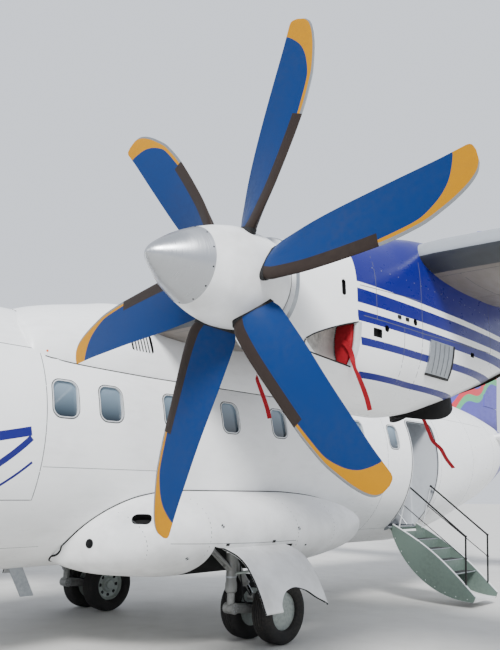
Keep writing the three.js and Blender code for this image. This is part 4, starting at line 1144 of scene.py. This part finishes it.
# Intake covers: a padded plug with a laced inner edge, and its ribbon
STREAMER_WIDTH = 0.034
INTAKE_RIBBON = [
    (0.364, -0.042, 2.675, 0.77, 0.00, 0.63),
    (0.400, -0.044, 2.640, 0.80, 0.05, 0.60),
    (0.432, -0.042, 2.590, 0.95, 0.10, 0.30),
    (0.446, -0.040, 2.530, 0.75, 0.65, 0.10),
    (0.452, -0.030, 2.480, 0.20, 0.98, 0.00),
    (0.456, 0.010, 2.420, 0.50, 0.87, 0.00),
    (0.460, 0.055, 2.350, 0.80, 0.60, 0.00),
    (0.462, 0.100, 2.270, 0.85, 0.53, 0.10),
    (0.463, 0.130, 2.195, 0.85, 0.53, 0.20),
]
EXHAUST_RIBBON = [
    (0.00, -0.57, 2.36, 0.9, 0.1, 0.0),
    (0.02, -0.50, 2.26, 0.9, 0.3, 0.0),
    (0.01, -0.41, 2.17, 0.7, 0.5, 0.1),
    (-0.01, -0.31, 2.10, 0.5, 0.5, 0.4),
    (0.01, -0.20, 2.03, 0.7, 0.3, 0.4),
    (0.00, -0.09, 1.95, 0.8, 0.2, 0.3),
    (0.01, 0.02, 1.87, 0.8, 0.3, 0.2),
]


def streamer(spots, x, name):
    """A cloth ribbon that hangs from a cover. Columns of spots: x, y, z, then the way of its width."""
    curve = smooth(spots, 0.02)
    layers = []
    for i, spot in enumerate(curve):
        at, width = Vector(spot[:3]), Vector(spot[3:]).normalized() * STREAMER_WIDTH / 2
        along = Vector(curve[min(i + 1, len(curve) - 1)][:3]) - Vector(curve[max(i - 1, 0)][:3])
        thick = width.cross(along).normalized() * 0.0008
        layers.append([at - width - thick, at + width - thick, at + width + thick, at - width + thick])
    ribbon = fixed(built(Parts(x=x).loft(layers), name, "red"))


# How the plug bulges. Columns: distance ahead of the mouth, share of the outline
PLUG = [(-0.004, 0.985), (0.004, 1.0), (0.012, 0.985), (0.019, 0.95), (0.024, 0.88)]
PLUG += [(0.027, 0.76), (0.028, 0.5), (0.029, 0.2)]
STITCHES = 44


def intake_cover(side, x, cheek):
    my, rim = INTAKE["mouth"], INTAKE["rim"]
    inner = [(px + 0.006, pz) for px, pz in ramp_edge(1, 17)]
    heights = np.linspace(inner[-1][1] + 0.006, inner[0][1] - 0.006, 17)
    outline = inner + [(nacelle_x(my, z) - rim - 0.004, z) for z in heights]
    cx, cz = np.mean(outline, axis=0)
    plug, lace, seal = (Parts(cheek, x) for _ in range(3))
    layers = []
    for ahead, share in PLUG:
        ring = []
        for k, (px, pz) in enumerate(outline):
            pucker = 0.0025 * math.sin(2.1 * k) * math.sin(5 * share) if 0.4 < share < 0.97 else 0
            ring.append((cx + (px - cx) * share, my - ahead - pucker, cz + (pz - cz) * share))
        layers.append(ring)
    plug.loft(layers)
    seal.tube([(px - 0.004, my - 0.012, pz) for px, pz in inner], 0.009)
    zigzag = []
    for k in range(STITCHES):
        px, pz = [np.interp(k / (STITCHES - 1), np.linspace(0, 1, 17), column) for column in zip(*inner)]
        zigzag.append((px + 0.006 * (-1) ** k - 0.002, my - 0.0225, pz))
    lace.tube(zigzag, 0.0014, 0, 5)
    where = "outer" if cheek * x > 0 else "inner"
    for parts, kind, look in ((plug, "plug", "red"), (lace, "lacing", "silver"), (seal, "seal", "rubber")):
        fixed(built(parts, f"intake_{kind}_{where}_{side}", look))
    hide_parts(f"intake_blank_{where}_{side}")
    spots = []
    for px, dy, pz, wx, wy, wz in INTAKE_RIBBON:
        spots.append((cheek * px, my + dy, pz, (cheek if pz > 2.5 else 1) * wx, wy, wz))
    streamer(spots, x, f"intake_ribbon_{where}_{side}")


# Propeller blades. Columns: radius, trailing edge, leading edge, thickness, pitch in degrees
BLADE = [
    (0.250, -0.105, 0.115, 0.110, 30),
    (0.345, -0.138, 0.158, 0.094, 29),
    (0.430, -0.160, 0.185, 0.074, 26),
    (0.700, -0.160, 0.200, 0.048, 14),
    (1.150, -0.150, 0.203, 0.028, 1.5),
    (1.400, -0.147, 0.184, 0.021, -2),
    (1.580, -0.145, 0.135, 0.016, -4),
    (1.700, -0.148, 0.084, 0.013, -4.8),
    (1.760, -0.150, 0.044, 0.0105, -5.2),
    (1.785, -0.138, 0.016, 0.0085, -5.5),
    (1.800, -0.100, -0.020, 0.006, -5.7),
]
# The inner edge of the yellow tip. Columns: distance ahead of the blade's axis, radius
TIP_EDGE = [(-0.135, 1.674), (-0.083, 1.658), (0.004, 1.615), (0.085, 1.525), (0.145, 1.383), (0.165, 1.146)]
TIP_CURVE = smooth(TIP_EDGE, 0.01).T
BLADE_PHASE, BLADES = 22.2, 6
# Radii between which the rubber collar at a blade's root lies
COLLAR = (0.311, 0.351)
# Spinner and cap. Columns: distance ahead of the propeller's plane, radius
SPINNER = [(-0.240, 0.327), (-0.100, 0.343), (0.060, 0.341), (0.220, 0.311), (0.388, 0.253)]
CAP = [(0.388, 0.253), (0.520, 0.188), (0.640, 0.110), (0.710, 0.050), (0.740, 0.004)]
SPINNER_BACK = [(-0.2405, 0.322), (-0.262, 0.318), (-0.262, 0.20)]
SCREW = [(-0.004, 0.006), (0.0015, 0.006), (0.0025, 0.004)]
SCREWS = {"count": 12, "radius": 0.246, "ahead": 0.400, "lean": 0.6}
# A blade's section. Columns: share of the chord, height above it as a share of the thickness
PROFILE = [(0, 0), (0.02, 0.17), (0.06, 0.30), (0.14, 0.42), (0.30, 0.50), (0.50, 0.46)]
PROFILE += [(0.75, 0.27), (1, 0.03)]
upper = [(root**2, height) for root, height in smooth([(math.sqrt(s), h) for s, h in PROFILE], 0.07)]
BLADE_SECTION = upper + [(share, -0.8 * height) for share, height in upper[:0:-1]]


def blade_ring(row, angle, scale=1.0):
    """The points of a blade at one radius, and the note that its paint needs at each."""
    radius, trail, lead, thick, pitch = row
    along = Vector((math.sin(angle), 0, math.cos(angle)))
    ahead = Vector((math.cos(angle), 0, -math.sin(angle)))
    middle = (lead + trail) / 2
    ring, notes = [], []
    for share, height in BLADE_SECTION:
        chord = middle + (lead + share * (trail - lead) - middle) * scale
        lift = height * thick * scale
        across = chord * math.cos(pitch) + lift * math.sin(pitch)
        forward = chord * math.sin(pitch) - lift * math.cos(pitch)
        ring.append(radius * along + across * ahead - Vector((0, forward, 0)))
        notes.append((radius, lead - chord, radius - np.interp(chord, *TIP_CURVE)))
    return ring, notes


def propeller(side, x):
    blades, collars, hub, cap = (Parts() for _ in range(4))
    rows = smooth([(*row[:4], math.radians(row[4])) for row in BLADE], 0.02)
    radii = np.linspace(*COLLAR, 4)
    roots = list(zip(*[np.interp(radii, rows[:, 0], column) for column in rows.T]))
    notes = []
    for k in range(BLADES):
        angle = math.radians(BLADE_PHASE + 360 / BLADES * k)
        made = [blade_ring(row, angle) for row in rows]
        blades.loft([ring for ring, _ in made])
        notes += [note for _, ring_notes in made for note in ring_notes]
        collars.loft([blade_ring(row, angle, 1.05)[0] for row in roots])
    hub.turn(smooth(SPINNER, 0.02), (0, 0, 0), -Y, 0, 72)
    hub.turn(SPINNER_BACK, (0, 0, 0), -Y, 1, 72)
    cap.turn([(ahead + 0.0004, r) for ahead, r in smooth(CAP, 0.012)], (0, 0, 0), -Y, 0, 72)
    radius, ahead, lean = (SCREWS[k] for k in ("radius", "ahead", "lean"))
    for u, v in disc(1, SCREWS["count"], 0.5):
        cap.turn(SCREW, (radius * u, -ahead, radius * v), (u, -lean, v), 1, 10)
    pieces = [
        built(blades, f"propeller_blades_{side}", "blade", sharp=50),
        built(collars, f"blade_collars_{side}", "rubber"),
        built(hub, f"spinner_shell_{side}", "white", "rubber"),
        built(cap, f"spinner_nose_{side}", "cap", "dark"),
    ]
    attribute = pieces[0].data.attributes.new("note", "FLOAT_VECTOR", "POINT")
    attribute.data.foreach_set("vector", [v for note in notes for v in note])
    for piece in pieces:
        piece.location = (x, PROP["y"], PROP["z"])
        fixed(piece, body=f"propeller_{side}")
    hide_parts(f"propeller_{side}")
    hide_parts(f"spinner_cap_{side}")


for side, sign in SIDES:
    nacelle_pieces(side, sign * PROP["x"])
    propeller(side, sign * PROP["x"])
    for cheek in (1, -1):
        intake_cover(side, sign * PROP["x"], cheek)
    streamer(EXHAUST_RIBBON, sign * PROP["x"], f"exhaust_ribbon_{side}")

# Wheels. Columns of TREAD: share of half the width, share of the radius
WHEEL = {"y": 0.17, "x": 1.588, "radius": 0.35, "width": 0.235, "half": 0.240}
NOSE_WHEEL = {"y": -7.80, "x": 0.0, "radius": 0.29, "width": 0.17, "half": 0.185}
TREAD = [(-0.55, 0.575), (-0.80, 0.60), (-0.95, 0.70), (-1.0, 0.81), (-0.96, 0.90), (-0.86, 0.955)]
TREAD += [(-0.70, 0.983)]
GROOVES = (-0.42, -0.14, 0.14, 0.42)
GROOVE = [(-0.035, 0), (-0.025, -0.028), (0.025, -0.028), (0.035, 0)]
RIM = 0.585
# A hub's face, covered and open, from its rim inwards. Columns: share of half the width, share of the rim
COVERED = [(0.50, 1), (0.56, 0.985), (0.60, 0.93), (0.63, 0.5)]
OPEN = [(0.58, 1), (0.60, 0.93), (0.30, 0.84), (0.22, 0.50), (0.45, 0.42), (0.50, 0.30), (0.72, 0.26)]
WHEEL_NUT = [(-0.004, 0.0075), (0.006, 0.0075), (0.008, 0.005)]


def tyre_profile(radius, width):
    """From one bead over the grooved crown to the other. Columns: distance out, radius."""
    shoulder = [(s * width / 2, r * radius) for s, r in smooth(TREAD, 0.05)]
    crown = [((g + s) * width / 2, (1 - 0.03 * g * g + r) * radius) for g in GROOVES for s, r in GROOVE]
    return shoulder + crown + [(-s, r) for s, r in shoulder[::-1]]


def wheel_pair(label, node, wheel, cover=False, sign=1):
    """Tyres, hubs and the axle of a pair. cover closes the face of the outer hub."""
    x, y, radius, w, half = (wheel[k] for k in ("x", "y", "radius", "width", "half"))
    tyres, hubs = Parts(sign), Parts(sign)
    rim, w = radius * RIM, w / 2
    for out in (1, -1):
        middle, ahead = Vector((x + out * half, y, radius)), X * out
        covered = cover and out > 0
        shares, tip = (COVERED, 0.64) if covered else (OPEN, 0.75)
        face = [(-w * 0.7, 0.05), (-w * 0.7, rim)] + [(w * a, rim * b) for a, b in shares] + [(w * tip, 0.02)]
        tyres.turn(tyre_profile(radius, wheel["width"]), middle, ahead, 0, 72, hoop=True)
        hubs.turn(face, middle, ahead, 0, 56)
        for u, v in () if covered else disc(rim * 0.67, 8):
            at = middle + Vector((out * w * 0.245, u, v))
            hubs.turn([(-0.004, rim * 0.115), (0.004, rim * 0.115)], at, ahead, 1, 18)
        nuts, ring, depth = (10, 0.86, 0.60) if covered else (12, 0.36, 0.48)
        for u, v in disc(rim * ring, nuts, 0.5):
            hubs.turn(WHEEL_NUT, middle + Vector((out * w * depth, u, v)), ahead, 2, 6)
    hubs.bar((x - half, y, radius), (x + half, y, radius), 0.035, mat=2)
    fixed(built(tyres, f"tyres_{label}", "tyre"), node, body=node)
    fixed(built(hubs, f"hubs_{label}", "hub", "dark", "bare"), body=node)


# Main gear. Columns of STRUT: distance up from its foot, radius
STRUT_Y, STRUT_FOOT, STRUT_TOP = -0.35, 0.56, WELL["z"] + 0.02
STRUT = [(0, 0.050), (0.02, 0.066), (0.10, 0.066), (0.12, 0.058), (0.50, 0.058), (0.52, 0.068), (0.60, 0.068)]
STRUT += [(0.62, 0.060), (STRUT_TOP - STRUT_FOOT, 0.060)]
KNEE_Z = 0.40
BRACE = (-0.86, 1.18)  # y, z
LINK = (0.24, -0.17)  # distance inboard, y
CLAMPS = (1.18, 0.98, 0.72)  # z


def main_leg(side, sign):
    """Strut, trailing arm, shock absorber, braces, links and pipes."""
    leg = Parts(sign)
    x, y, r = WHEEL["x"], WHEEL["y"], WHEEL["radius"]
    knee, hub = Vector((x, STRUT_Y, KNEE_Z)), Vector((x, y, r))
    leg.turn(STRUT, (x, STRUT_Y, STRUT_FOOT), Z, 0, 28)
    leg.bar((x, STRUT_Y, 0.36), (x, STRUT_Y, 0.60), 0.043)
    leg.pin(knee, X, 0.075, 0.03, 0.005, 0.058)
    leg.bar(knee, hub, 0.056, 0.048, 0, 24)
    leg.pin(hub, X, 0.058, 0.05, 0.003, 0.074)
    high, low = Vector((x, STRUT_Y + 0.02, 0.92)), Vector((x, y - 0.17, 0.49))
    leg.bar(high, high.lerp(low, 0.62), 0.043)
    leg.turn([(0, 0.048), (0.03, 0.048)], high.lerp(low, 0.60), low - high, 0, 24)
    leg.bar(high.lerp(low, 0.6), low, 0.026, mat=1)
    for p in (high, low):
        leg.pin(p, X, 0.05, 0.02, 0.002, 0.04, n=20)
    brace, link = Vector((x, *BRACE)), Vector((x - LINK[0], LINK[1], STRUT_TOP))
    for dx in (-0.03, 0.03):
        leg.bar((x + dx, STRUT_Y - 0.02, 0.80), brace + X * dx, 0.020)
    leg.bar((x, STRUT_Y - 0.04, 0.815), (x, STRUT_Y - 0.10, 0.86), 0.032)
    leg.bar(brace, (x, BRACE[0], STRUT_TOP), 0.038)
    leg.bar(brace - X * 0.055, brace + X * 0.055, 0.043)
    leg.bar((x, STRUT_Y, 1.0), link - Z * 0.04, 0.028)
    leg.bar(link - Z * 0.08, link, 0.034)
    for dx, bend in ((0.048, 0.0), (-0.048, 0.02)):
        pipe = [
            (x + dx, STRUT_Y + 0.05, 1.30),
            (x + dx * 1.3, STRUT_Y + 0.085, 1.05),
            (x + dx * 1.5, STRUT_Y + 0.07, 0.80),
            (x + dx * 1.6, STRUT_Y + 0.10 + bend, 0.60),
            (x + dx * 1.5, STRUT_Y + 0.14, 0.47),
            (x + dx * 1.3, -0.05, 0.42),
            (x + dx * 1.2, 0.06, 0.41),
        ]
        leg.tube(smooth(pipe, 0.03), 0.0085, 2, 10)
    for z in CLAMPS:
        leg.turn([(0, 0.062), (0.012, 0.062)], (x, STRUT_Y, z), Z, 3, 28)
    for out in (1, -1):
        for u, v in disc(0.034, 6):
            leg.turn([(0, 0.006), (0.006, 0.006)], knee + Vector((out * 0.074, u, v)), X * out, 3, 6)
    fixed(built(leg, f"main_leg_{side}_detail", "gear", "chrome", "rubber", "bare"), f"main_leg_{side}")


def brakes(side, sign):
    """The brake pack beside each hub, on the leg."""
    packs = Parts(sign)
    for out in (1, -1):
        at = Vector((WHEEL["x"] + out * 0.059, WHEEL["y"], WHEEL["radius"]))
        packs.turn([(0, 0.060), (0.002, 0.098), (0.012, 0.098), (0.013, 0.060)], at, X * out, 0, 36)
        for u, v in disc(0.080, 5, 0.2):
            packs.turn([(-0.012, 0.012), (0.001, 0.014)], at + Vector((0, u, v)), X * out, 1, 12)
    fixed(built(packs, f"brakes_{side}", "brake", "bare"))


# The door outboard of each leg. Columns: x, z of its outer face
GEAR_DOOR = [(1.895, 1.075), (2.010, 1.043), (2.110, 1.008), (2.230, 0.930), (2.330, 0.815), (2.420, 0.675)]
GEAR_DOOR += [(2.512, 0.485)]
GEAR_DOOR_Y, GEAR_DOOR_THICK = (-0.80, 0.18), 0.024
# The arch in its lower edge. Columns: y, z
ARCH = [(-0.56, 0.30), (-0.555, 0.42), (-0.55, 0.52), (-0.50, 0.60), (-0.41, 0.66), (-0.27, 0.685)]
ARCH += [(-0.11, 0.65), (0.03, 0.57), (0.20, 0.47), (0.24, 0.30)]


def gear_door(side, sign):
    """The door with its arch, brackets, ribs, rods and seal."""
    door, arch, ribs, edging = (Parts(sign) for _ in range(4))
    curve = [tuple(p) for p in smooth(GEAR_DOOR, 0.03)]
    inner = []
    for i, (px, pz) in enumerate(curve):
        (ax, az), (bx, bz) = curve[max(i - 1, 0)], curve[min(i + 1, len(curve) - 1)]
        scale = GEAR_DOOR_THICK / math.hypot(bx - ax, bz - az)
        inner.append((px + (bz - az) * scale, pz - (bx - ax) * scale))
    door.loft([[(px, y, pz) for px, pz in curve + inner[::-1]] for y in np.linspace(*GEAR_DOOR_Y, 40)])
    arch.plate(smooth(ARCH, 0.03), "x", 1.7, 2.9)
    for y in (-0.74, 0.06):
        door.box((1.895, y, 1.015), (1.9295, y + 0.06, 1.18))
    for y in (-0.66, -0.25, 0.12):
        rib = ((0, 0, 0), (0, 0.03, 0), (-0.012, 0.03, -0.02), (-0.012, 0, -0.02))
        ribs.loft([[(px + dx, y + dy, pz + dz) for dx, dy, dz in rib] for px, pz in inner if pz > 0.80])
    ribs.bar((WHEEL["x"] + 0.05, -0.33, 0.76), (2.225, -0.20, 0.88), 0.014)
    ribs.bar((WHEEL["x"] + 0.05, -0.37, 1.08), (2.05, -0.55, 0.99), 0.012)
    middle = [((a + c) / 2, (b + d) / 2) for (a, b), (c, d) in zip(curve, inner)]
    for y in (GEAR_DOOR_Y[0] - 0.001, GEAR_DOOR_Y[1] + 0.001):
        edging.tube([(px, y, pz) for px, pz in middle], 0.008)
    xs, zs = zip(*inner[::-1])
    edge = [(np.interp(z, zs, xs), y, z) for y, z in smooth(ARCH, 0.03) if z > zs[0] and y < GEAR_DOOR_Y[1]]
    edging.tube(edge, 0.007)
    door = built(door, f"gear_door_{side}", "white")
    carve(door, built(arch, "cut_arch", "rubber"))
    fixed(door, f"main_gear_door_{side}")
    fixed(built(ribs, f"gear_door_ribs_{side}", "hub"))
    fixed(built(edging, f"gear_door_seal_{side}", "rubber"))


for side, sign in SIDES:
    wheel_pair(f"main_{side}", f"main_wheels_{side}", WHEEL, True, sign)
    main_leg(side, sign)
    brakes(side, sign)
    gear_door(side, sign)

# Nose gear. The torque links have a lower end, a hinge and an upper end, in z, and reach aft
TORQUE = {"z": (0.47, 0.56, 0.66), "reach": 0.15}
DRAG = {"reach": 0.48, "z": 1.31}
y, r = NOSE_WHEEL["y"], NOSE_WHEEL["radius"]
wheel_pair("nose", "nose_wheels", NOSE_WHEEL)
fork, leg = Parts(), Parts()
fork.turn([(0, 0.036), (0.01, 0.041), (0.33, 0.041)], (0, y, r + 0.02), Z, 1, 28)
fork.turn([(0, 0.060), (0.01, 0.069), (0.05, 0.069), (0.06, 0.062)], (0, y, 0.64), Z, 0, 32)
fork.pin((0, y, r), X, 0.045, 0.04, 0.003, 0.054)
fork.bar((0, y, r), (0, y, r + 0.08), 0.050, 0.042)
fork.box((-0.035, y - 0.11, r - 0.028), (0.035, y, r + 0.028))
(low, hinge, high), back = TORQUE["z"], y + TORQUE["reach"]
for dx in (-0.022, 0.022):
    fork.bar((dx, y + 0.02, low), (dx, back, hinge), 0.010)
    fork.bar((dx, back, hinge), (dx, y + 0.03, high), 0.010)
fork.bar((-0.035, back, hinge), (0.035, back, hinge), 0.014)
leg.turn([(0, 0.050), (0.01, 0.057), (0.20, 0.057), (0.22, 0.050), (0.6496, 0.050)], (0, y, 0.7004), Z, 0, 28)
back, high = y + DRAG["reach"], DRAG["z"]
leg.bar((0, y, 0.76), (0, back, high), 0.028)
leg.bar((-0.05, back, high), (0.05, back, high), 0.038)
leg.bar((-0.11, y, 0.82), (0.11, y, 0.82), 0.027)
leg.turn([(0, 0.045), (0.02, 0.045), (0.03, 0.040)], (0, y - 0.055, 1.02), (0, -0.945, -0.05), 2, 24)
for dx in (-0.05, 0.05):
    pipe = [(dx, y + 0.04, 1.33), (dx * 1.2, y + 0.075, 1.1), (dx * 1.2, y + 0.07, 0.9), (dx, y + 0.05, 0.76)]
    leg.tube(smooth(pipe, 0.04), 0.007, 1)
fixed(built(fork, "nose_fork_detail", "gear", "chrome"), "nose_fork", body="nose_fork")
fixed(built(leg, "nose_leg_detail", "gear", "rubber", "lens"), "nose_leg")

# The airstair, made shut in the fuselage wall and then swung down about its hinge
STAIR = {
    "y": (4.062, 4.838), "z": (1.142, 2.768), "hinge": (0.868, 1.095), "open": 113,
    "wall": 0.075, "gap": 0.002, "panel": 0.022, "rivets": 9,
}
FLIGHT = {"count": 5, "from": 0.12, "share": 0.78, "thick": 0.022}
# The handrail's points, x and z as it stands open
RAIL = {"head": (1.245, 1.762), "foot": (2.190, 1.018), "post": (2.150, 0.300), "brace": (1.045, 1.075)}
RAIL_RADIUS = 0.014
(y0, y1), (low, high) = STAIR["y"], STAIR["z"]
hx, hz = STAIR["hinge"]
swing = (
    Matrix.Translation((hx, 0, hz))
    @ Matrix.Rotation(math.radians(STAIR["open"]), 4, "Y")
    @ Matrix.Translation((-hx, 0, -hz))
)


def wall_x(z, inset=0.0):
    """The outside of the fuselage wall at a height, or inset from it."""
    return math.sqrt((BODY_R - inset) ** 2 - (z - BODY_Z) ** 2)


def cheek_x(z):
    """The inner edge of the side panels, with the stair shut."""
    t = (z - low) / (high - low)
    foot, head = (wall_x(end, STAIR["gap"]) - STAIR["wall"] for end in (low, high))
    return foot + t * (head - foot) - 0.02 - 0.09 * math.sin(math.pi * t)


heights = np.linspace(low, high, 36)
outside = [(wall_x(z, STAIR["gap"]), z) for z in heights]
shell, cheeks, treads, rails = (Parts() for _ in range(4))
shell.plate(outside + [(px - 0.03, z) for px, z in outside[::-1]], "y", y0 + 0.003, y1 - 0.003)
profile = [(px - 0.004, z) for px, z in outside] + [(cheek_x(z), z) for z in heights[::-1]]
for ya, yb in ((y0, y0 + STAIR["panel"]), (y1 - STAIR["panel"], y1)):
    cheeks.plate(profile, "y", ya, yb)
    cheeks.tube([(cheek_x(z), (ya + yb) / 2, z) for z in heights], 0.0125, 1, 10)
strap = [(hx - 0.004, hz), (hx + 0.012, hz), (hx + 0.018, low + 0.02), (hx - 0.03, low + 0.02)]
cheeks.plate(strap + [(hx - 0.004, low - 0.012)], "y", y0, y1)
cheeks.bar((hx, y0 - 0.034, hz), (hx, y1 + 0.034, hz), 0.012, mat=2)
for y, out in ((y0, -1), (y1, 1)):
    for z in np.linspace(low + 0.12, high - 0.10, STAIR["rivets"]):
        cheeks.turn([(-0.002, 0.008), (0.003, 0.006)], (wall_x(z) - 0.045, y, z), Y * out, 1, 10)
noses = []
for i in range(FLIGHT["count"]):
    z = low + (FLIGHT["from"] + FLIGHT["share"] * i / FLIGHT["count"]) * (high - low)
    noses.append(swing @ Vector((cheek_x(z) + 0.02, 0, z)))
tops = [(noses[0].x, noses[0].z)]
for last, now in zip(noses, noses[1:]):
    tops += [(last.x, now.z), (now.x, now.z)]
under = [(px - FLIGHT["thick"], pz - FLIGHT["thick"]) for px, pz in tops[::-1]]
treads.plate(tops + under, "y", y0 + 0.012, y1 - 0.012)
for last, now in zip(noses, noses[1:]):
    treads.box((last.x + 0.018, y0 + 0.05, now.z - 0.002), (now.x - 0.022, y1 - 0.05, now.z + 0.0025), 1)
    px, pz = now.x - 0.004, now.z - 0.004
    treads.bar((px, y0 + 0.014, pz), (px, y1 - 0.014, pz), 0.0065, mat=2)
for y in (y0 + 0.015, y1 - 0.015):
    head, foot, post, brace = (Vector((px, y, pz)) for px, pz in RAIL.values())
    middle = foot.lerp(post, 0.45)
    rails.bar(head, foot, RAIL_RADIUS)
    rails.bar(foot, post, RAIL_RADIUS)
    rails.bar(head, brace, 0.011, mat=1)
    rails.bar(head.lerp(brace, 0.45), middle, 0.007)
    for p in (head, foot, middle):
        rails.pin(p, Y, 0.017, 0.006, 0.004, 0.017, n=16)
for parts in (shell, cheeks):
    parts.verts = [tuple(swing @ Vector(v)) for v in parts.verts]
for parts, name, looks in (
    (shell, "airstair_shell", ("white",)),
    (cheeks, "airstair_cheeks", ("green", "silver", "bare")),
    (treads, "airstair_treads", ("green", "tread", "bare")),
    (rails, "airstair_rails", ("dark", "silver")),
):
    fixed(built(parts, name, *looks), body="airstair")
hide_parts("airstair_door")

# What shows inside the doorway, and the lugs that hold the hinge
SHELVES, SWITCHES = (0.45, 1.0, 1.45), (1.62, 1.80, 1.98, 2.35)
cabin, hinges = Parts(), Parts()
(y0, y1), (z0, z1) = DOORWAY["y"], DOORWAY["z"]
cabin.box((-0.35, y0 + 0.002, z0 - 0.004), (0.83, y1 - 0.002, z0 + 0.012), 0)
cabin.box((-0.349, y0 + 0.06, z0 + 0.012), (-0.325, y1 - 0.06, z0 + 1.0), 1)
for up in SHELVES:
    cabin.box((-0.349, y0 + 0.03, z0 + up), (-0.318, y1 - 0.03, z0 + up + 0.02), 2)
cabin.box((-0.30, y1 - 0.027, z0 + 0.012), (0.84, y1 - 0.003, z1 + 0.05), 1)
for z in SWITCHES:
    cabin.box((0.72, y1 - 0.033, z), (0.79, y1 - 0.026, z + 0.10), 2)
for y in (y0 + 0.09, y1 - 0.12):
    cabin.bar((0.80, y, z0 + 0.010), (0.45, y, z0 + 0.40), 0.012, mat=2)
    cabin.bar((0.45, y, z0 + 0.010), (0.62, y, z0 + 0.22), 0.010, mat=2)
lug = [(0.80, 1.05), (hx + 0.008, hz - 0.026), (hx + 0.026, hz - 0.008), (hx + 0.026, hz + 0.008)]
lug += [(hx + 0.008, hz + 0.026), (0.83, 1.15)]
for y in (y0 + 0.001, y1 - 0.020):
    hinges.plate(lug, "y", y, y + 0.019)
fixed(built(cabin, "doorway_lining", "carpet", "cabin", "silver"))
fixed(built(hinges, "airstair_lugs", "bare"))

# Aerials, probes and wicks. Columns of outlines: distance aft, distance up
BELLY_BLADE = [(-2.265, 0.860), (-2.105, 0.860), (-1.940, 0.550), (-1.946, 0.541), (-2.090, 0.541)]
SMALL_BELOW = [(-0.07, 0.01), (0.03, 0.01), (0.06, -0.10), (0.01, -0.10)]
SMALL_ABOVE = [(-0.09, -0.01), (0.05, -0.01), (0.09, 0.14), (0.02, 0.14)]
BELOW_AT = [(-1.35, 0.22), (-3.4, -0.15), (-4.6, 0.0)]  # y, x
ABOVE_AT = [-5.2, -6.6]  # y
PROBES = [(-9.9, 2.05), (-9.7, 1.85)]  # y, z
WICK = [(12.1, 0.42, 3.33), (12.1, 0.50, 3.328), (12.1, 0.60, 3.322)]
aerial, small = Parts(), Parts()
aerial.plate(BELLY_BLADE, "x", 0.193, 0.207)
fixed(built(aerial, "belly_blade", "bare"), "belly_aerial")
for y, x in BELOW_AT:
    small.plate(shifted(SMALL_BELOW, y, skin.under(x, y)[0].z), "x", x - 0.005, x + 0.005)
for y in ABOVE_AT:
    small.plate(shifted(SMALL_ABOVE, y, skin.over(0, y)[0].z), "x", -0.007, 0.007)
for sign in (1, -1):
    for y, z in PROBES:
        at, normal = skin.side(sign, y, z)
        tip = at + normal * 0.05
        small.bar(at - normal * 0.01, tip, 0.008)
        small.bar(tip, tip - Y * 0.14, 0.007, 0.005)
    small.tube([(sign * x, y, z) for x, y, z in smooth(WICK, 0.03)], 0.003, 1, 6)
fixed(built(small, "small_aerials", "white", "rubber"))

# Camera, backdrop and light. Angles in degrees
FLOOR_HALF = 120
SKY = {"color": (0.86, 0.91, 1.0), "strength": 1.2}
SUN = {"energy": 5.4, "size": 15, "turn": (32, 38, 0)}
camera = bpy.data.objects.new("camera", bpy.data.cameras.new("camera"))
bpy.context.scene.collection.objects.link(camera)
yaw, pitch, roll = (math.radians(CAMERA[k]) for k in ("yaw", "pitch", "roll"))
ahead = Vector((-math.sin(yaw) * math.cos(pitch), math.cos(yaw) * math.cos(pitch), math.sin(pitch)))
right = Vector((math.cos(yaw), math.sin(yaw), 0))
up = right.cross(ahead)
rolled_right = right * math.cos(roll) + up * math.sin(roll)
rolled_up = up * math.cos(roll) - right * math.sin(roll)
turn = Matrix((rolled_right, rolled_up, -ahead)).transposed().to_4x4()
camera.matrix_world = Matrix.Translation(CAMERA["at"]) @ turn
camera.data.sensor_fit = "VERTICAL"
camera.data.sensor_height = SENSOR_MM
camera.data.lens = FOCAL_PX / IMAGE_HEIGHT_PX * SENSOR_MM
bpy.context.scene.camera = camera

floor = Parts()
corners = ((-1, -1), (1, -1), (1, 1), (-1, 1))
floor.add([(u * FLOOR_HALF, v * FLOOR_HALF, 0) for u, v in corners], [(0, 1, 2, 3)])
floor = floor.object("floor", plain("floor_paint", "c9c8c4", 0.7, amount=0.2, grain=3))
world = bpy.data.worlds.new("sky")
world.use_nodes = True
background = world.node_tree.nodes["Background"]
background.inputs[0].default_value = (*SKY["color"], 1)
background.inputs[1].default_value = SKY["strength"]
bpy.context.scene.world = world
sun = bpy.data.objects.new("sun", bpy.data.lights.new("sun", "SUN"))
sun.data.energy, sun.data.angle = SUN["energy"], math.radians(SUN["size"])
sun.rotation_euler = [math.radians(angle) for angle in SUN["turn"]]
bpy.context.scene.collection.objects.link(sun)
